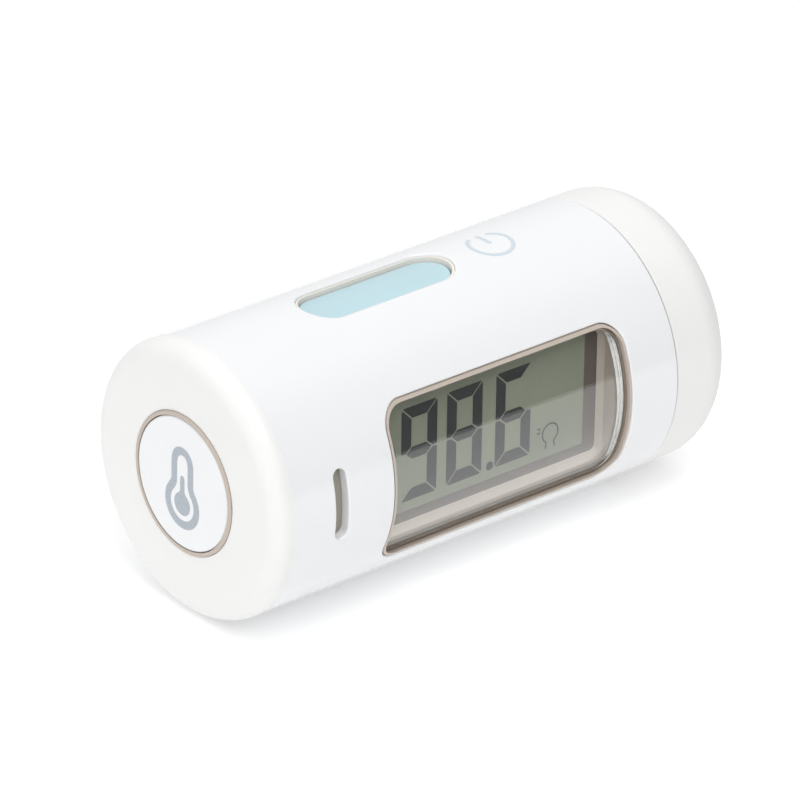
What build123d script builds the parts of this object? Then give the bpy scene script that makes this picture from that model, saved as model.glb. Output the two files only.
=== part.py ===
"""Digital ear thermometer: a round barrel lying along X, built as separate pieces.

Millimetres. X runs along the barrel: the scan button closes the -X end and the pull-off
probe cap closes the +X end. The display faces -Y, the power button faces +Z and the
battery door faces +Y. The origin is the middle of the whole object, on the barrel's axis.
"""

import os
from math import cos, hypot, radians, sin

from build123d import *

os.makedirs("parts", exist_ok=True)

# Barrel and its two ends
BARREL_R = 19.0
WALL = 1.8
BORE_R = BARREL_R - WALL
INNER_R = BORE_R - 0.05
REAR_X = -39.1
REAR_JOINT_X = -36.2
SEAM_X = 28.5
CAP_END_X = 39.3
REAR_RIM_R = 2.6
REAR_CAP_BORE_R = 14.0
REAR_CAP_FLOOR_X = -37.0
SEAL_X = -35.1
SEAL_GROOVE = 1.1
SEAL_FLOOR_R = 16.15
SEAL_R = 0.5
CAP_RIM_R = 4.9
EDGE_R = 0.25
FRAME_PAD_SIZE = (40.0, 1.4, 3.4)
FRAME_PAD_Y = -8.2
FRAME_PAD_Z = 14.3

# Display window, centred opposite the battery door and 90 degrees from the power button
WINDOW_X = 0.45
WINDOW_LENGTH = 40.5
WINDOW_HEIGHT = 22.6
WINDOW_CORNER_R = 3.4
BEZEL_INSET = 0.1
BEZEL_TOP_R = 18.9
LENS_POCKET_INSET = 0.45
LENS_INSET = 0.84
LENS_TOP_R = 18.25
LENS_INNER_R = 16.4
LENS_SEAT_R = LENS_INNER_R - 0.05
LENS_EDGE_R = 0.3
VIEW_X = 0.2
VIEW_LENGTH = 37.8
VIEW_CORNER_R = 0.8
VIEW_SLOPE_LENGTH = 38.5
VIEW_SLOPE_HEIGHT = 20.0
VIEW_SLOPE_DEPTH = 0.9
LCD_FRONT_Y = 12.6
LCD_Z = 0.3
LCD_VIEW_LENGTH = 38.3
LCD_VIEW_HEIGHT = 17.0
LCD_MARGIN = 1.0
LCD_GLASS_T = 1.1
LCD_REAR_GLASS_T = 0.7
BACKLIGHT_T = 1.6
CONNECTOR_Z = 8.85
CONNECTOR_LENGTH = 36.0
CONNECTOR_T = 0.9
BEZEL_EAR_LENGTH = 45.7
BEZEL_EAR_HEIGHT = 18.0
BEZEL_EAR_T = 1.0
FRAME_LENGTH = 44.5
FRAME_HEIGHT = 24.8
FRAME_WALL = 1.2
FRAME_FLOOR_Y = 3.8
FRAME_POST_R = 2.2

# Power button on top
KEY_X = -7.75
KEY_SLOT_LENGTH = 23.7
KEY_SLOT_WIDTH = 7.4
KEY_LINER_T = 0.35
KEY_LINER_GAP = 0.03
KEY_LINER_TOP_R = 18.6
KEY_LINER_FOOT_Z = 16.6
KEY_GAP = 0.15
KEY_TOP_R = 18.0
KEY_FLANGE_TOP_Z = 16.4
KEY_FLANGE_BOTTOM_Z = 15.55
KEY_HOLLOW = (19.6, 4.0)
KEY_HOLLOW_DEPTH = 1.2
KEY_STEM_R = 1.6
KEY_STEM_LENGTH = 3.0

# Indicator slit beside the display
SLIT_X = -28.4
SLIT_Z = 1.35
SLIT_WIDTH = 2.05
SLIT_LENGTH = 9.6
SLIT_DEPTH = 1.4
LIGHT_PIPE_Y = 5.3
LIGHT_PIPE_LENGTH = 4.6
LIGHT_FLANGE_Y = 14.6
LIGHT_FLANGE_T = 0.9

# Scan button in the rear face
SCAN_HOLE_R = 9.8
SCAN_BUTTON_R = 9.15
SCAN_BUTTON_PROUD = 0.2
SCAN_FLANGE_X = -36.95
SCAN_FLANGE_R = 11.2
SCAN_FLANGE_FRONT_X = -36.0
SCAN_CUP_X = -37.8
SCAN_CUP_R = 7.9
SCAN_STEM_R = 2.0
SCAN_STEM_X = -35.25
SCAN_RIB_T = 0.8
SCAN_RING_T = 2.15
SCAN_RING_PROUD = 0.2
SCAN_RING_EDGE_R = 0.15

# Circuit boards
BOARD_FRONT_Y = -4.2
BOARD_BACK_Y = -3.0
BOARD_REAR_X = -29.2
BOARD_FRONT_X = 19.5
BOARD_HALF_HEIGHT = 13.5
REAR_BOARD_X = -31.2
REAR_BOARD_T = 1.2
REAR_BOARD_R = 16.6
REAR_SCREW_RING_R = 15.5
BOARD_SCREW_XS = (-19.0, 16.5)
BOARD_SCREW_Z = 5.0
CHIP_PLACE = (-6.0, 2.5)
CHIP_SIZE = 7.0
CHIP_T = 1.3
CRYSTAL_PLACE = (-6.0, -4.2)
CRYSTAL_SIZE = (5.0, 3.2)
CRYSTAL_T = 1.1
PASSIVE_SIZE = (1.7, 0.9)
PASSIVE_T = 0.8
HEADER_X = -29.0
HEADER_SIZE = (2.0, 8.4)
HEADER_T = 2.4
FOOT_T = 1.0
SWITCH_SIZE = 6.0
SWITCH_T = 3.1
PLUNGER_BORE = 2.2
POWER_SWITCH_Z = 9.3
POWER_STEM_Z = 11.2
POWER_STEM_LENGTH = 2.5
PILOT_R = 0.8
BOARD_PILOT_R = 0.85
SCREW_SHANK_R = 0.75
SCREW_HEAD_R = 1.3
SCREW_SLOT = (1.6, 0.35)
BUZZER_Y = 7.5
BUZZER_R = 5.0
BUZZER_T = 2.8

# Coin cell, its tray and its door
CELL_X = -1.3
CELL_R = 10.0
CELL_T = 3.2
CELL_Y = 10.85
TRAY_FLOOR_Y = 10.8
TRAY_FLOOR_T = 1.2
TRAY_LENGTH = 32.6
TRAY_HEIGHT = 23.4
TRAY_WALL = 1.2
TRAY_RIM_R = 16.8
TRAY_POCKET_Y = 12.6
DOOR_LENGTH = 33.4
DOOR_HEIGHT = 23.8
DOOR_CORNER_R = 3.2
DOOR_INNER_R = 17.6
DOOR_SCREW_OFFSET = 12.35
DOOR_BOSS_TOP_Y = 16.6
DOOR_BOSS_R = 1.8
DOOR_SCREW_SEAT_Y = DOOR_BOSS_TOP_Y + 1.2
DOOR_SCREW_HEAD_R = 1.85
DOOR_SCREW_HEAD_T = 1.0
DOOR_SCREW_SHANK_R = 0.9
DOOR_SCREW_LENGTH = 5.8
DOOR_SCREW_SLOT = (2.2, 0.5)
FINGER_NOTCH = 8.4
FINGER_NOTCH_R = 2.4
CONTACT_T = 0.25
CONTACT_WIDTH = 4.0
NEGATIVE_CONTACT_Y = TRAY_FLOOR_Y - 0.55
NEGATIVE_LEG_X = 4.75
POSITIVE_LEG_X = 8.97
POSITIVE_TOP_Y = 13.0
TRAY_RIB_XS = (-16.5, 13.5)

# Front collar and probe
COLLAR_X = 24.4
COLLAR_WEB_X = 26.4
SPIGOT_R = 17.0
SPIGOT_END_X = 31.8
SPIGOT_LEAD = 0.4
SEAM_R = 18.5
SEAM_T = 0.3
GRIP_X = 30.45
GRIP_GROOVE = 1.1
GRIP_FLOOR_R = 16.3
GRIP_R = 0.4
PROBE_FLANGE_X = 22.9
PROBE_BASE_R = 8.2
PROBE_TIP_X = 37.3
PROBE_BORE_R = 3.6
PROBE_SCREW_RING_R = 10.0
PROBE_BOSS_R = 11.6
HOLDER_X = 22.0
HOLDER_R = 6.0
HOLDER_STEP_X = 27.95
WINDOW_SEAT_X = 36.4
IR_WINDOW_T = 0.5
TIP_RING_BORE_R = 2.9
WAVEGUIDE_R = 2.42
WAVEGUIDE_BORE_R = 2.1
SENSOR_X = 23.4
SENSOR_LENGTH = 3.5
SENSOR_FRONT_X = 27.0
SENSOR_FLANGE_R = 2.73
SENSOR_CAN_R = 2.4
SENSOR_EYE_R = 1.3
LEAD_LENGTH = 3.0
LEAD_CIRCLE_R = 1.27
LEAD_R = 0.22
SENSOR_BOARD_X = 20.9
SENSOR_BOARD_R = 5.6
SENSOR_BOARD_T = 1.0
RIBBON_START_X = 15.6
RIBBON_END_X = 20.85
RIBBON_TOP_Y = -1.9
RIBBON_T = 0.15
RIBBON_WIDTH = 4.0
CAP_BORE_R = 17.2
CAP_OUTER_R = 18.85
CAP_END_T = 1.4

# Balance weight, which keeps the display facing out when the barrel lies on a table
WEIGHT_X = -1.0
WEIGHT_LENGTH = 30.0
WEIGHT_TOP_Z = -14.6
WEIGHT_Y = -2.9
WEIGHT_WIDTH = 8.8
WEIGHT_GAP = 0.03

SPAN = 60.0
FRONT = Plane.XZ
BACK = Plane(origin=(0, 0, 0), x_dir=(1, 0, 0), z_dir=(0, 1, 0))


def on_barrel_surface(edge, radius):
    """True for an edge that runs along the barrel's skin of this radius, between its ends."""
    middle = edge.position_at(0.5)
    at_radius = abs(hypot(middle.Y, middle.Z) - radius) < 1e-3
    return at_radius and REAR_JOINT_X + 0.1 < middle.X < SEAM_X - 0.1


def window_outline(inset):
    """Length, height and corner radius of the window's outline, this far inside its edge."""
    return (WINDOW_LENGTH - 2 * inset, WINDOW_HEIGHT - 2 * inset, WINDOW_CORNER_R - inset)


def ring_point(radius, degrees):
    """Y and Z of a point at this angle from the top, turning towards the display."""
    return (-radius * sin(radians(degrees)), radius * cos(radians(degrees)))


REAR_SCREW_POINTS = [ring_point(REAR_SCREW_RING_R, turn) for turn in (0, 120, 240)]
PROBE_SCREW_POINTS = [ring_point(PROBE_SCREW_RING_R, turn) for turn in (60, 180, 300)]
BOARD_SCREW_POINTS = [(x, z) for x in BOARD_SCREW_XS for z in (-BOARD_SCREW_Z, BOARD_SCREW_Z)]
DOOR_SCREW_POINTS = [(CELL_X - DOOR_SCREW_OFFSET, 0), (CELL_X + DOOR_SCREW_OFFSET, 0)]

# ---------------------------------------------------------------- outer shell

with BuildPart() as housing:
    with BuildSketch(Plane.YZ.offset(REAR_JOINT_X)):
        Circle(BARREL_R)
        Circle(BORE_R, mode=Mode.SUBTRACT)
    extrude(amount=SEAM_X - REAR_JOINT_X)
    with Locations((WINDOW_X, FRAME_PAD_Y, FRAME_PAD_Z), (WINDOW_X, FRAME_PAD_Y, -FRAME_PAD_Z)):
        Box(*FRAME_PAD_SIZE)
    with BuildSketch(FRONT.offset(LCD_FRONT_Y)):
        with Locations((WINDOW_X, 0)):
            RectangleRounded(WINDOW_LENGTH, WINDOW_HEIGHT, WINDOW_CORNER_R)
    extrude(amount=BARREL_R, mode=Mode.SUBTRACT)
    with BuildSketch(Plane.XY.offset(KEY_FLANGE_BOTTOM_Z)):
        with Locations((KEY_X, 0)):
            SlotOverall(KEY_SLOT_LENGTH + 2 * KEY_LINER_T, KEY_SLOT_WIDTH + 2 * KEY_LINER_T)
    extrude(amount=BARREL_R, mode=Mode.SUBTRACT)
    with BuildSketch(FRONT.offset(LCD_FRONT_Y)):
        with Locations((SLIT_X, SLIT_Z)):
            SlotOverall(SLIT_LENGTH, SLIT_WIDTH, rotation=90)
    extrude(amount=BARREL_R, mode=Mode.SUBTRACT)
    with BuildSketch(BACK.offset(TRAY_FLOOR_Y)):
        with Locations((CELL_X, 0)):
            RectangleRounded(DOOR_LENGTH, DOOR_HEIGHT, DOOR_CORNER_R)
    extrude(amount=BARREL_R, mode=Mode.SUBTRACT)
    fillet(housing.edges().filter_by(lambda e: on_barrel_surface(e, BARREL_R)), EDGE_R)
housing.part.label = "housing"
export_step(housing.part, "parts/housing.step")

with BuildPart() as rear_cap:
    with BuildSketch(Plane.XZ):
        with BuildLine():
            Polyline(
                (REAR_X, SCAN_HOLE_R),
                (REAR_X, BARREL_R),
                (REAR_JOINT_X, BARREL_R),
                (REAR_JOINT_X, INNER_R),
                (SEAL_X - SEAL_GROOVE / 2, INNER_R),
                (SEAL_X - SEAL_GROOVE / 2, SEAL_FLOOR_R),
                (SEAL_X + SEAL_GROOVE / 2, SEAL_FLOOR_R),
                (SEAL_X + SEAL_GROOVE / 2, INNER_R),
                (REAR_BOARD_X, INNER_R),
                (REAR_BOARD_X, REAR_CAP_BORE_R),
                (REAR_CAP_FLOOR_X, REAR_CAP_BORE_R),
                (REAR_CAP_FLOOR_X, SCAN_HOLE_R),
                close=True,
            )
        make_face()
    revolve(axis=Axis.X)
    rim = rear_cap.edges().filter_by(GeomType.CIRCLE).filter_by_position(Axis.X, REAR_X, REAR_X)
    fillet(rim.sort_by(SortBy.RADIUS)[-1], REAR_RIM_R)
    rim = rear_cap.edges().filter_by(GeomType.CIRCLE).filter_by_position(Axis.X, REAR_X, REAR_X)
    fillet(rim.sort_by(SortBy.RADIUS)[0], 0.2)
    with BuildSketch(Plane.YZ.offset(REAR_BOARD_X)):
        with Locations(*REAR_SCREW_POINTS):
            Circle(PILOT_R)
    extrude(amount=-3.2, mode=Mode.SUBTRACT)
rear_cap.part.label = "rear_cap"
export_step(rear_cap.part, "parts/rear_cap.step")

with BuildPart() as rear_cap_seal:
    with BuildSketch(Plane.XZ):
        with Locations((SEAL_X, SEAL_FLOOR_R + SEAL_R)):
            Circle(SEAL_R)
    revolve(axis=Axis.X)
rear_cap_seal.part.label = "rear_cap_seal"
export_step(rear_cap_seal.part, "parts/rear_cap_seal.step")

# ---------------------------------------------------------------- scan button at the rear

with BuildPart() as scan_button_ring:
    with BuildSketch(Plane.YZ.offset(REAR_X - SCAN_RING_PROUD)):
        Circle(SCAN_HOLE_R - 0.02)
        Circle(SCAN_BUTTON_R + 0.1, mode=Mode.SUBTRACT)
    extrude(amount=SCAN_RING_T)
    face_edges = scan_button_ring.edges().group_by(Axis.X)[0]
    fillet(face_edges.sort_by(SortBy.RADIUS)[-1], SCAN_RING_EDGE_R)
scan_button_ring.part.label = "scan_button_ring"
export_step(scan_button_ring.part, "parts/scan_button_ring.step")

with BuildPart() as scan_button:
    with BuildSketch(Plane.XZ):
        with BuildLine():
            Polyline(
                (REAR_X - SCAN_BUTTON_PROUD, 0),
                (REAR_X - SCAN_BUTTON_PROUD, SCAN_BUTTON_R),
                (SCAN_FLANGE_X, SCAN_BUTTON_R),
                (SCAN_FLANGE_X, SCAN_FLANGE_R),
                (SCAN_FLANGE_FRONT_X, SCAN_FLANGE_R),
                (SCAN_FLANGE_FRONT_X, SCAN_CUP_R),
                (SCAN_CUP_X, SCAN_CUP_R),
                (SCAN_CUP_X, SCAN_STEM_R),
                (SCAN_STEM_X, SCAN_STEM_R),
                (SCAN_STEM_X, 0),
                close=True,
            )
        make_face()
    revolve(axis=Axis.X)
    with BuildSketch(Plane.YZ.offset(SCAN_CUP_X)):
        Rectangle(2 * SCAN_CUP_R, SCAN_RIB_T)
        Rectangle(SCAN_RIB_T, 2 * SCAN_CUP_R)
    extrude(amount=1.5)
    face_rim = scan_button.edges().filter_by(GeomType.CIRCLE).sort_by(Axis.X)[0]
    fillet(face_rim, 0.3)
scan_button.part.label = "scan_button"
export_step(scan_button.part, "parts/scan_button.step")

with BuildPart() as scan_switch:
    with BuildSketch(Plane.YZ.offset(REAR_BOARD_X)):
        RectangleRounded(SWITCH_SIZE, SWITCH_SIZE, 0.5)
    extrude(amount=-SWITCH_T)
    with BuildSketch(Plane.YZ.offset(REAR_BOARD_X - SWITCH_T)):
        Circle(1.8)
    extrude(amount=PLUNGER_BORE, mode=Mode.SUBTRACT)
    with BuildSketch(Plane.YZ.offset(REAR_BOARD_X)):
        with Locations((0, 2.25), (0, -2.25)):
            Rectangle(8.6, 0.7)
    extrude(amount=-0.2)
scan_switch.part.label = "scan_switch"
export_step(scan_switch.part, "parts/scan_switch.step")

with BuildPart() as scan_switch_stem:
    with BuildSketch(Plane.YZ.offset(SCAN_STEM_X + 0.05)):
        Circle(1.75)
    extrude(amount=PLUNGER_BORE)
scan_switch_stem.part.label = "scan_switch_stem"
export_step(scan_switch_stem.part, "parts/scan_switch_stem.step")

with BuildPart() as rear_board:
    with BuildSketch(Plane.YZ.offset(REAR_BOARD_X)):
        Circle(REAR_BOARD_R)
        with Locations(*REAR_SCREW_POINTS):
            Circle(PILOT_R, mode=Mode.SUBTRACT)
    extrude(amount=REAR_BOARD_T)
rear_board.part.label = "rear_board"
export_step(rear_board.part, "parts/rear_board.step")

with BuildPart() as rear_board_screws:
    with BuildSketch(Plane.YZ.offset(REAR_BOARD_X + REAR_BOARD_T)):
        with Locations(*REAR_SCREW_POINTS):
            Circle(SCREW_HEAD_R)
    extrude(amount=1.0)
    with BuildSketch(Plane.YZ.offset(REAR_BOARD_X + REAR_BOARD_T)):
        with Locations(*REAR_SCREW_POINTS):
            Circle(SCREW_SHANK_R)
    extrude(amount=-4.2)
    with BuildSketch(Plane.YZ.offset(REAR_BOARD_X + REAR_BOARD_T + 1.0)):
        with Locations(*REAR_SCREW_POINTS):
            Rectangle(*SCREW_SLOT)
            Rectangle(*SCREW_SLOT, rotation=90)
    extrude(amount=-0.5, mode=Mode.SUBTRACT)
rear_board_screws.part.label = "rear_board_screws"
export_step(rear_board_screws.part, "parts/rear_board_screws.step")

with BuildPart() as buzzer:
    with BuildSketch(Plane.YZ.offset(REAR_BOARD_X + REAR_BOARD_T)):
        with Locations((BUZZER_Y, 0)):
            Circle(BUZZER_R)
    extrude(amount=BUZZER_T)
    with BuildSketch(Plane.YZ.offset(REAR_BOARD_X + REAR_BOARD_T + BUZZER_T)):
        with Locations((BUZZER_Y, 0)):
            Circle(0.9)
    extrude(amount=-1.5, mode=Mode.SUBTRACT)
buzzer.part.label = "buzzer"
export_step(buzzer.part, "parts/buzzer.step")

# ---------------------------------------------------------------- power button on top

with BuildPart() as power_button:
    with BuildSketch(Plane.XY.offset(KEY_FLANGE_BOTTOM_Z)):
        with Locations((KEY_X, 0)):
            SlotOverall(KEY_SLOT_LENGTH - 2 * KEY_GAP, KEY_SLOT_WIDTH - 2 * KEY_GAP)
    extrude(amount=BARREL_R - KEY_FLANGE_BOTTOM_Z)
    with BuildSketch(Plane.YZ.offset(-SPAN / 2)):
        Circle(KEY_TOP_R)
    extrude(amount=SPAN, mode=Mode.INTERSECT)
    fillet(power_button.edges().filter_by(lambda e: on_barrel_surface(e, KEY_TOP_R)), EDGE_R)
    with BuildSketch(Plane.XY.offset(KEY_FLANGE_BOTTOM_Z)):
        with Locations((KEY_X, 0)):
            SlotOverall(KEY_SLOT_LENGTH + 1.6, KEY_SLOT_WIDTH + 1.7)
    extrude(amount=KEY_FLANGE_TOP_Z - KEY_FLANGE_BOTTOM_Z)
    with BuildSketch(Plane.XY.offset(KEY_FLANGE_BOTTOM_Z)):
        with Locations((KEY_X, 0)):
            SlotOverall(*KEY_HOLLOW)
    extrude(amount=KEY_HOLLOW_DEPTH, mode=Mode.SUBTRACT)
    with BuildSketch(Plane.XY.offset(KEY_FLANGE_BOTTOM_Z + KEY_HOLLOW_DEPTH)):
        with Locations((KEY_X, 0)):
            Circle(KEY_STEM_R)
    extrude(amount=-KEY_STEM_LENGTH)
power_button.part.label = "power_button"
export_step(power_button.part, "parts/power_button.step")

with BuildPart() as key_surround:
    with BuildSketch(Plane.XY.offset(KEY_LINER_FOOT_Z)):
        with Locations((KEY_X, 0)):
            liner = KEY_LINER_T - KEY_LINER_GAP
            SlotOverall(KEY_SLOT_LENGTH + 2 * liner, KEY_SLOT_WIDTH + 2 * liner)
            SlotOverall(KEY_SLOT_LENGTH, KEY_SLOT_WIDTH, mode=Mode.SUBTRACT)
    extrude(amount=BARREL_R - KEY_LINER_FOOT_Z)
    with BuildSketch(Plane.YZ.offset(-SPAN / 2)):
        Circle(KEY_LINER_TOP_R)
    extrude(amount=SPAN, mode=Mode.INTERSECT)
key_surround.part.label = "key_surround"
export_step(key_surround.part, "parts/key_surround.step")

with BuildPart() as power_switch:
    with BuildSketch(Plane.XY.offset(POWER_SWITCH_Z)):
        with Locations((KEY_X, 0)):
            Rectangle(SWITCH_SIZE, -2 * BOARD_BACK_Y)
    extrude(amount=SWITCH_T)
    with BuildSketch(Plane.XY.offset(POWER_SWITCH_Z + SWITCH_T)):
        with Locations((KEY_X, 0)):
            Circle(1.3)
    extrude(amount=-PLUNGER_BORE, mode=Mode.SUBTRACT)
    with BuildSketch(BACK.offset(BOARD_BACK_Y)):
        with Locations((KEY_X - 3.8, -10.8), (KEY_X + 3.8, -10.8)):
            Rectangle(1.8, 1.4)
    extrude(amount=0.3)
power_switch.part.label = "power_switch"
export_step(power_switch.part, "parts/power_switch.step")

with BuildPart() as power_switch_stem:
    with BuildSketch(Plane.XY.offset(POWER_STEM_Z)):
        with Locations((KEY_X, 0)):
            Circle(1.25)
    extrude(amount=POWER_STEM_LENGTH)
power_switch_stem.part.label = "power_switch_stem"
export_step(power_switch_stem.part, "parts/power_switch_stem.step")

# ---------------------------------------------------------------- balance weight

with BuildPart() as balance_weight:
    with BuildSketch(Plane.YZ.offset(WEIGHT_X - WEIGHT_LENGTH / 2)):
        Circle(BORE_R - WEIGHT_GAP)
        with Locations((WEIGHT_Y, WEIGHT_TOP_Z - BORE_R / 2)):
            Rectangle(WEIGHT_WIDTH, BORE_R, mode=Mode.INTERSECT)
    extrude(amount=WEIGHT_LENGTH)
balance_weight.part.label = "balance_weight"
export_step(balance_weight.part, "parts/balance_weight.step")

# ---------------------------------------------------------------- display

with BuildPart() as display_lens:
    with BuildSketch(FRONT.offset(LCD_FRONT_Y)):
        with Locations((WINDOW_X, 0)):
            RectangleRounded(*window_outline(LENS_INSET))
    extrude(amount=BARREL_R)
    with BuildSketch(Plane.YZ.offset(-SPAN / 2)):
        Circle(LENS_TOP_R)
        Circle(LENS_INNER_R, mode=Mode.SUBTRACT)
    extrude(amount=SPAN, mode=Mode.INTERSECT)
    fillet(display_lens.edges().filter_by(lambda e: on_barrel_surface(e, LENS_TOP_R)), LENS_EDGE_R)
display_lens.part.label = "display_lens"
export_step(display_lens.part, "parts/display_lens.step")

with BuildPart() as display_bezel:
    with BuildSketch(FRONT.offset(LCD_FRONT_Y)):
        with Locations((WINDOW_X, 0)):
            RectangleRounded(*window_outline(BEZEL_INSET))
    extrude(amount=BARREL_R)
    with BuildSketch(Plane.YZ.offset(-SPAN / 2)):
        Circle(LENS_SEAT_R)
    extrude(amount=SPAN, mode=Mode.INTERSECT)
    with BuildSketch(FRONT.offset(LCD_FRONT_Y)):
        with Locations((WINDOW_X, 0)):
            RectangleRounded(*window_outline(BEZEL_INSET))
            RectangleRounded(*window_outline(LENS_POCKET_INSET), mode=Mode.SUBTRACT)
    extrude(amount=BARREL_R)
    with BuildSketch(Plane.YZ.offset(-SPAN / 2)):
        Circle(BEZEL_TOP_R)
    extrude(amount=SPAN, mode=Mode.INTERSECT)
    with BuildSketch(FRONT.offset(LCD_FRONT_Y)):
        with Locations((WINDOW_X, 0)):
            Rectangle(BEZEL_EAR_LENGTH, BEZEL_EAR_HEIGHT)
    extrude(amount=BEZEL_EAR_T)
    with BuildSketch(FRONT.offset(LCD_FRONT_Y)):
        with Locations((VIEW_X, LCD_Z)):
            RectangleRounded(VIEW_LENGTH, LCD_VIEW_HEIGHT, VIEW_CORNER_R)
    with BuildSketch(FRONT.offset(LCD_FRONT_Y + VIEW_SLOPE_DEPTH)):
        with Locations((WINDOW_X, 0)):
            RectangleRounded(VIEW_SLOPE_LENGTH, VIEW_SLOPE_HEIGHT, 1.6)
    loft(mode=Mode.SUBTRACT)
    with BuildSketch(FRONT.offset(LCD_FRONT_Y + VIEW_SLOPE_DEPTH)):
        with Locations((WINDOW_X, 0)):
            RectangleRounded(VIEW_SLOPE_LENGTH, VIEW_SLOPE_HEIGHT, 1.6)
    extrude(amount=BARREL_R, mode=Mode.SUBTRACT)
display_bezel.part.label = "display_bezel"
export_step(display_bezel.part, "parts/display_bezel.step")

with BuildPart() as lcd_panel:
    with BuildSketch(FRONT.offset(LCD_FRONT_Y)):
        with Locations((WINDOW_X, LCD_Z)):
            Rectangle(LCD_VIEW_LENGTH + 2 * LCD_MARGIN, LCD_VIEW_HEIGHT + 2 * LCD_MARGIN)
    extrude(amount=-LCD_GLASS_T)
    with BuildSketch(FRONT.offset(LCD_FRONT_Y - LCD_GLASS_T)):
        with Locations((WINDOW_X, LCD_Z)):
            Rectangle(LCD_VIEW_LENGTH + 2 * LCD_MARGIN, LCD_VIEW_HEIGHT - 0.4)
    extrude(amount=-LCD_REAR_GLASS_T)
lcd_panel.part.label = "lcd_panel"
export_step(lcd_panel.part, "parts/lcd_panel.step")

with BuildPart() as lcd_backlight:
    with BuildSketch(FRONT.offset(LCD_FRONT_Y - LCD_GLASS_T - LCD_REAR_GLASS_T)):
        with Locations((WINDOW_X, LCD_Z)):
            RectangleRounded(LCD_VIEW_LENGTH, LCD_VIEW_HEIGHT - 1.0, 0.5)
    extrude(amount=-BACKLIGHT_T)
lcd_backlight.part.label = "lcd_backlight"
export_step(lcd_backlight.part, "parts/lcd_backlight.step")

with BuildPart() as lcd_connectors:
    with BuildSketch(FRONT.offset(LCD_FRONT_Y - LCD_GLASS_T)):
        with Locations((WINDOW_X, LCD_Z + CONNECTOR_Z), (WINDOW_X, LCD_Z - CONNECTOR_Z)):
            Rectangle(CONNECTOR_LENGTH, CONNECTOR_T)
    extrude(amount=-(LCD_FRONT_Y - LCD_GLASS_T + BOARD_FRONT_Y))
lcd_connectors.part.label = "lcd_connectors"
export_step(lcd_connectors.part, "parts/lcd_connectors.step")

with BuildPart() as display_frame:
    with BuildSketch(FRONT.offset(-BOARD_FRONT_Y)):
        with Locations((WINDOW_X, 0)):
            Rectangle(FRAME_LENGTH, FRAME_HEIGHT)
    extrude(amount=LCD_FRONT_Y + BOARD_FRONT_Y)
    with BuildSketch(Plane.YZ.offset(-SPAN / 2)):
        Circle(INNER_R)
    extrude(amount=SPAN, mode=Mode.INTERSECT)
    with BuildSketch(FRONT.offset(LCD_FRONT_Y)):
        with Locations((WINDOW_X, LCD_Z)):
            Rectangle(LCD_VIEW_LENGTH + 2 * LCD_MARGIN + 0.2, LCD_VIEW_HEIGHT + 2 * LCD_MARGIN + 0.2)
    extrude(amount=-(LCD_GLASS_T + LCD_REAR_GLASS_T + BACKLIGHT_T), mode=Mode.SUBTRACT)
    with BuildSketch(FRONT.offset(-BOARD_FRONT_Y)):
        with Locations((WINDOW_X, 0)):
            Rectangle(FRAME_LENGTH - 2 * FRAME_WALL, FRAME_HEIGHT - 2.5 * FRAME_WALL)
    extrude(amount=FRAME_FLOOR_Y, mode=Mode.SUBTRACT)
    with BuildSketch(FRONT.offset(-BOARD_FRONT_Y)):
        with Locations((WINDOW_X, LCD_Z + CONNECTOR_Z), (WINDOW_X, LCD_Z - CONNECTOR_Z)):
            Rectangle(CONNECTOR_LENGTH + 0.4, CONNECTOR_T + 0.3)
    extrude(amount=6.0, mode=Mode.SUBTRACT)
    with BuildSketch(FRONT.offset(-BOARD_FRONT_Y)):
        with Locations(*BOARD_SCREW_POINTS):
            Circle(FRAME_POST_R)
    extrude(amount=FRAME_FLOOR_Y)
    with BuildSketch(FRONT.offset(-BOARD_FRONT_Y)):
        with Locations(*BOARD_SCREW_POINTS):
            Circle(BOARD_PILOT_R)
    extrude(amount=4.4, mode=Mode.SUBTRACT)
    with BuildSketch(Plane.YZ.offset(BOARD_FRONT_X)):
        Circle(6.4)
    extrude(amount=5.0, mode=Mode.SUBTRACT)
display_frame.part.label = "display_frame"
export_step(display_frame.part, "parts/display_frame.step")

# ---------------------------------------------------------------- indicator

with BuildPart() as indicator_lens:
    with BuildSketch(FRONT.offset(LIGHT_PIPE_Y)):
        with Locations((SLIT_X, SLIT_Z)):
            SlotOverall(LIGHT_PIPE_LENGTH, SLIT_WIDTH - 0.1, rotation=90)
    extrude(amount=LIGHT_FLANGE_Y - LIGHT_PIPE_Y + LIGHT_FLANGE_T)
    with BuildSketch(FRONT.offset(LIGHT_FLANGE_Y)):
        with Locations((SLIT_X, SLIT_Z)):
            SlotOverall(SLIT_LENGTH - 0.1, SLIT_WIDTH - 0.1, rotation=90)
    extrude(amount=BARREL_R - LIGHT_FLANGE_Y)
    with BuildSketch(FRONT.offset(LIGHT_FLANGE_Y)):
        with Locations((SLIT_X, SLIT_Z)):
            SlotOverall(SLIT_LENGTH + 1.6, SLIT_WIDTH + 0.8, rotation=90)
    extrude(amount=LIGHT_FLANGE_T)
    with BuildSketch(Plane.YZ.offset(-SPAN / 2)):
        Circle(BARREL_R - SLIT_DEPTH)
    extrude(amount=SPAN, mode=Mode.INTERSECT)
indicator_lens.part.label = "indicator_lens"
export_step(indicator_lens.part, "parts/indicator_lens.step")

with BuildPart() as indicator_led:
    with BuildSketch(FRONT.offset(-BOARD_FRONT_Y)):
        with Locations((SLIT_X + 0.3, SLIT_Z)):
            Rectangle(2.0, 3.2)
    extrude(amount=1.0)
indicator_led.part.label = "indicator_led"
export_step(indicator_led.part, "parts/indicator_led.step")

# ---------------------------------------------------------------- main board

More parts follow.
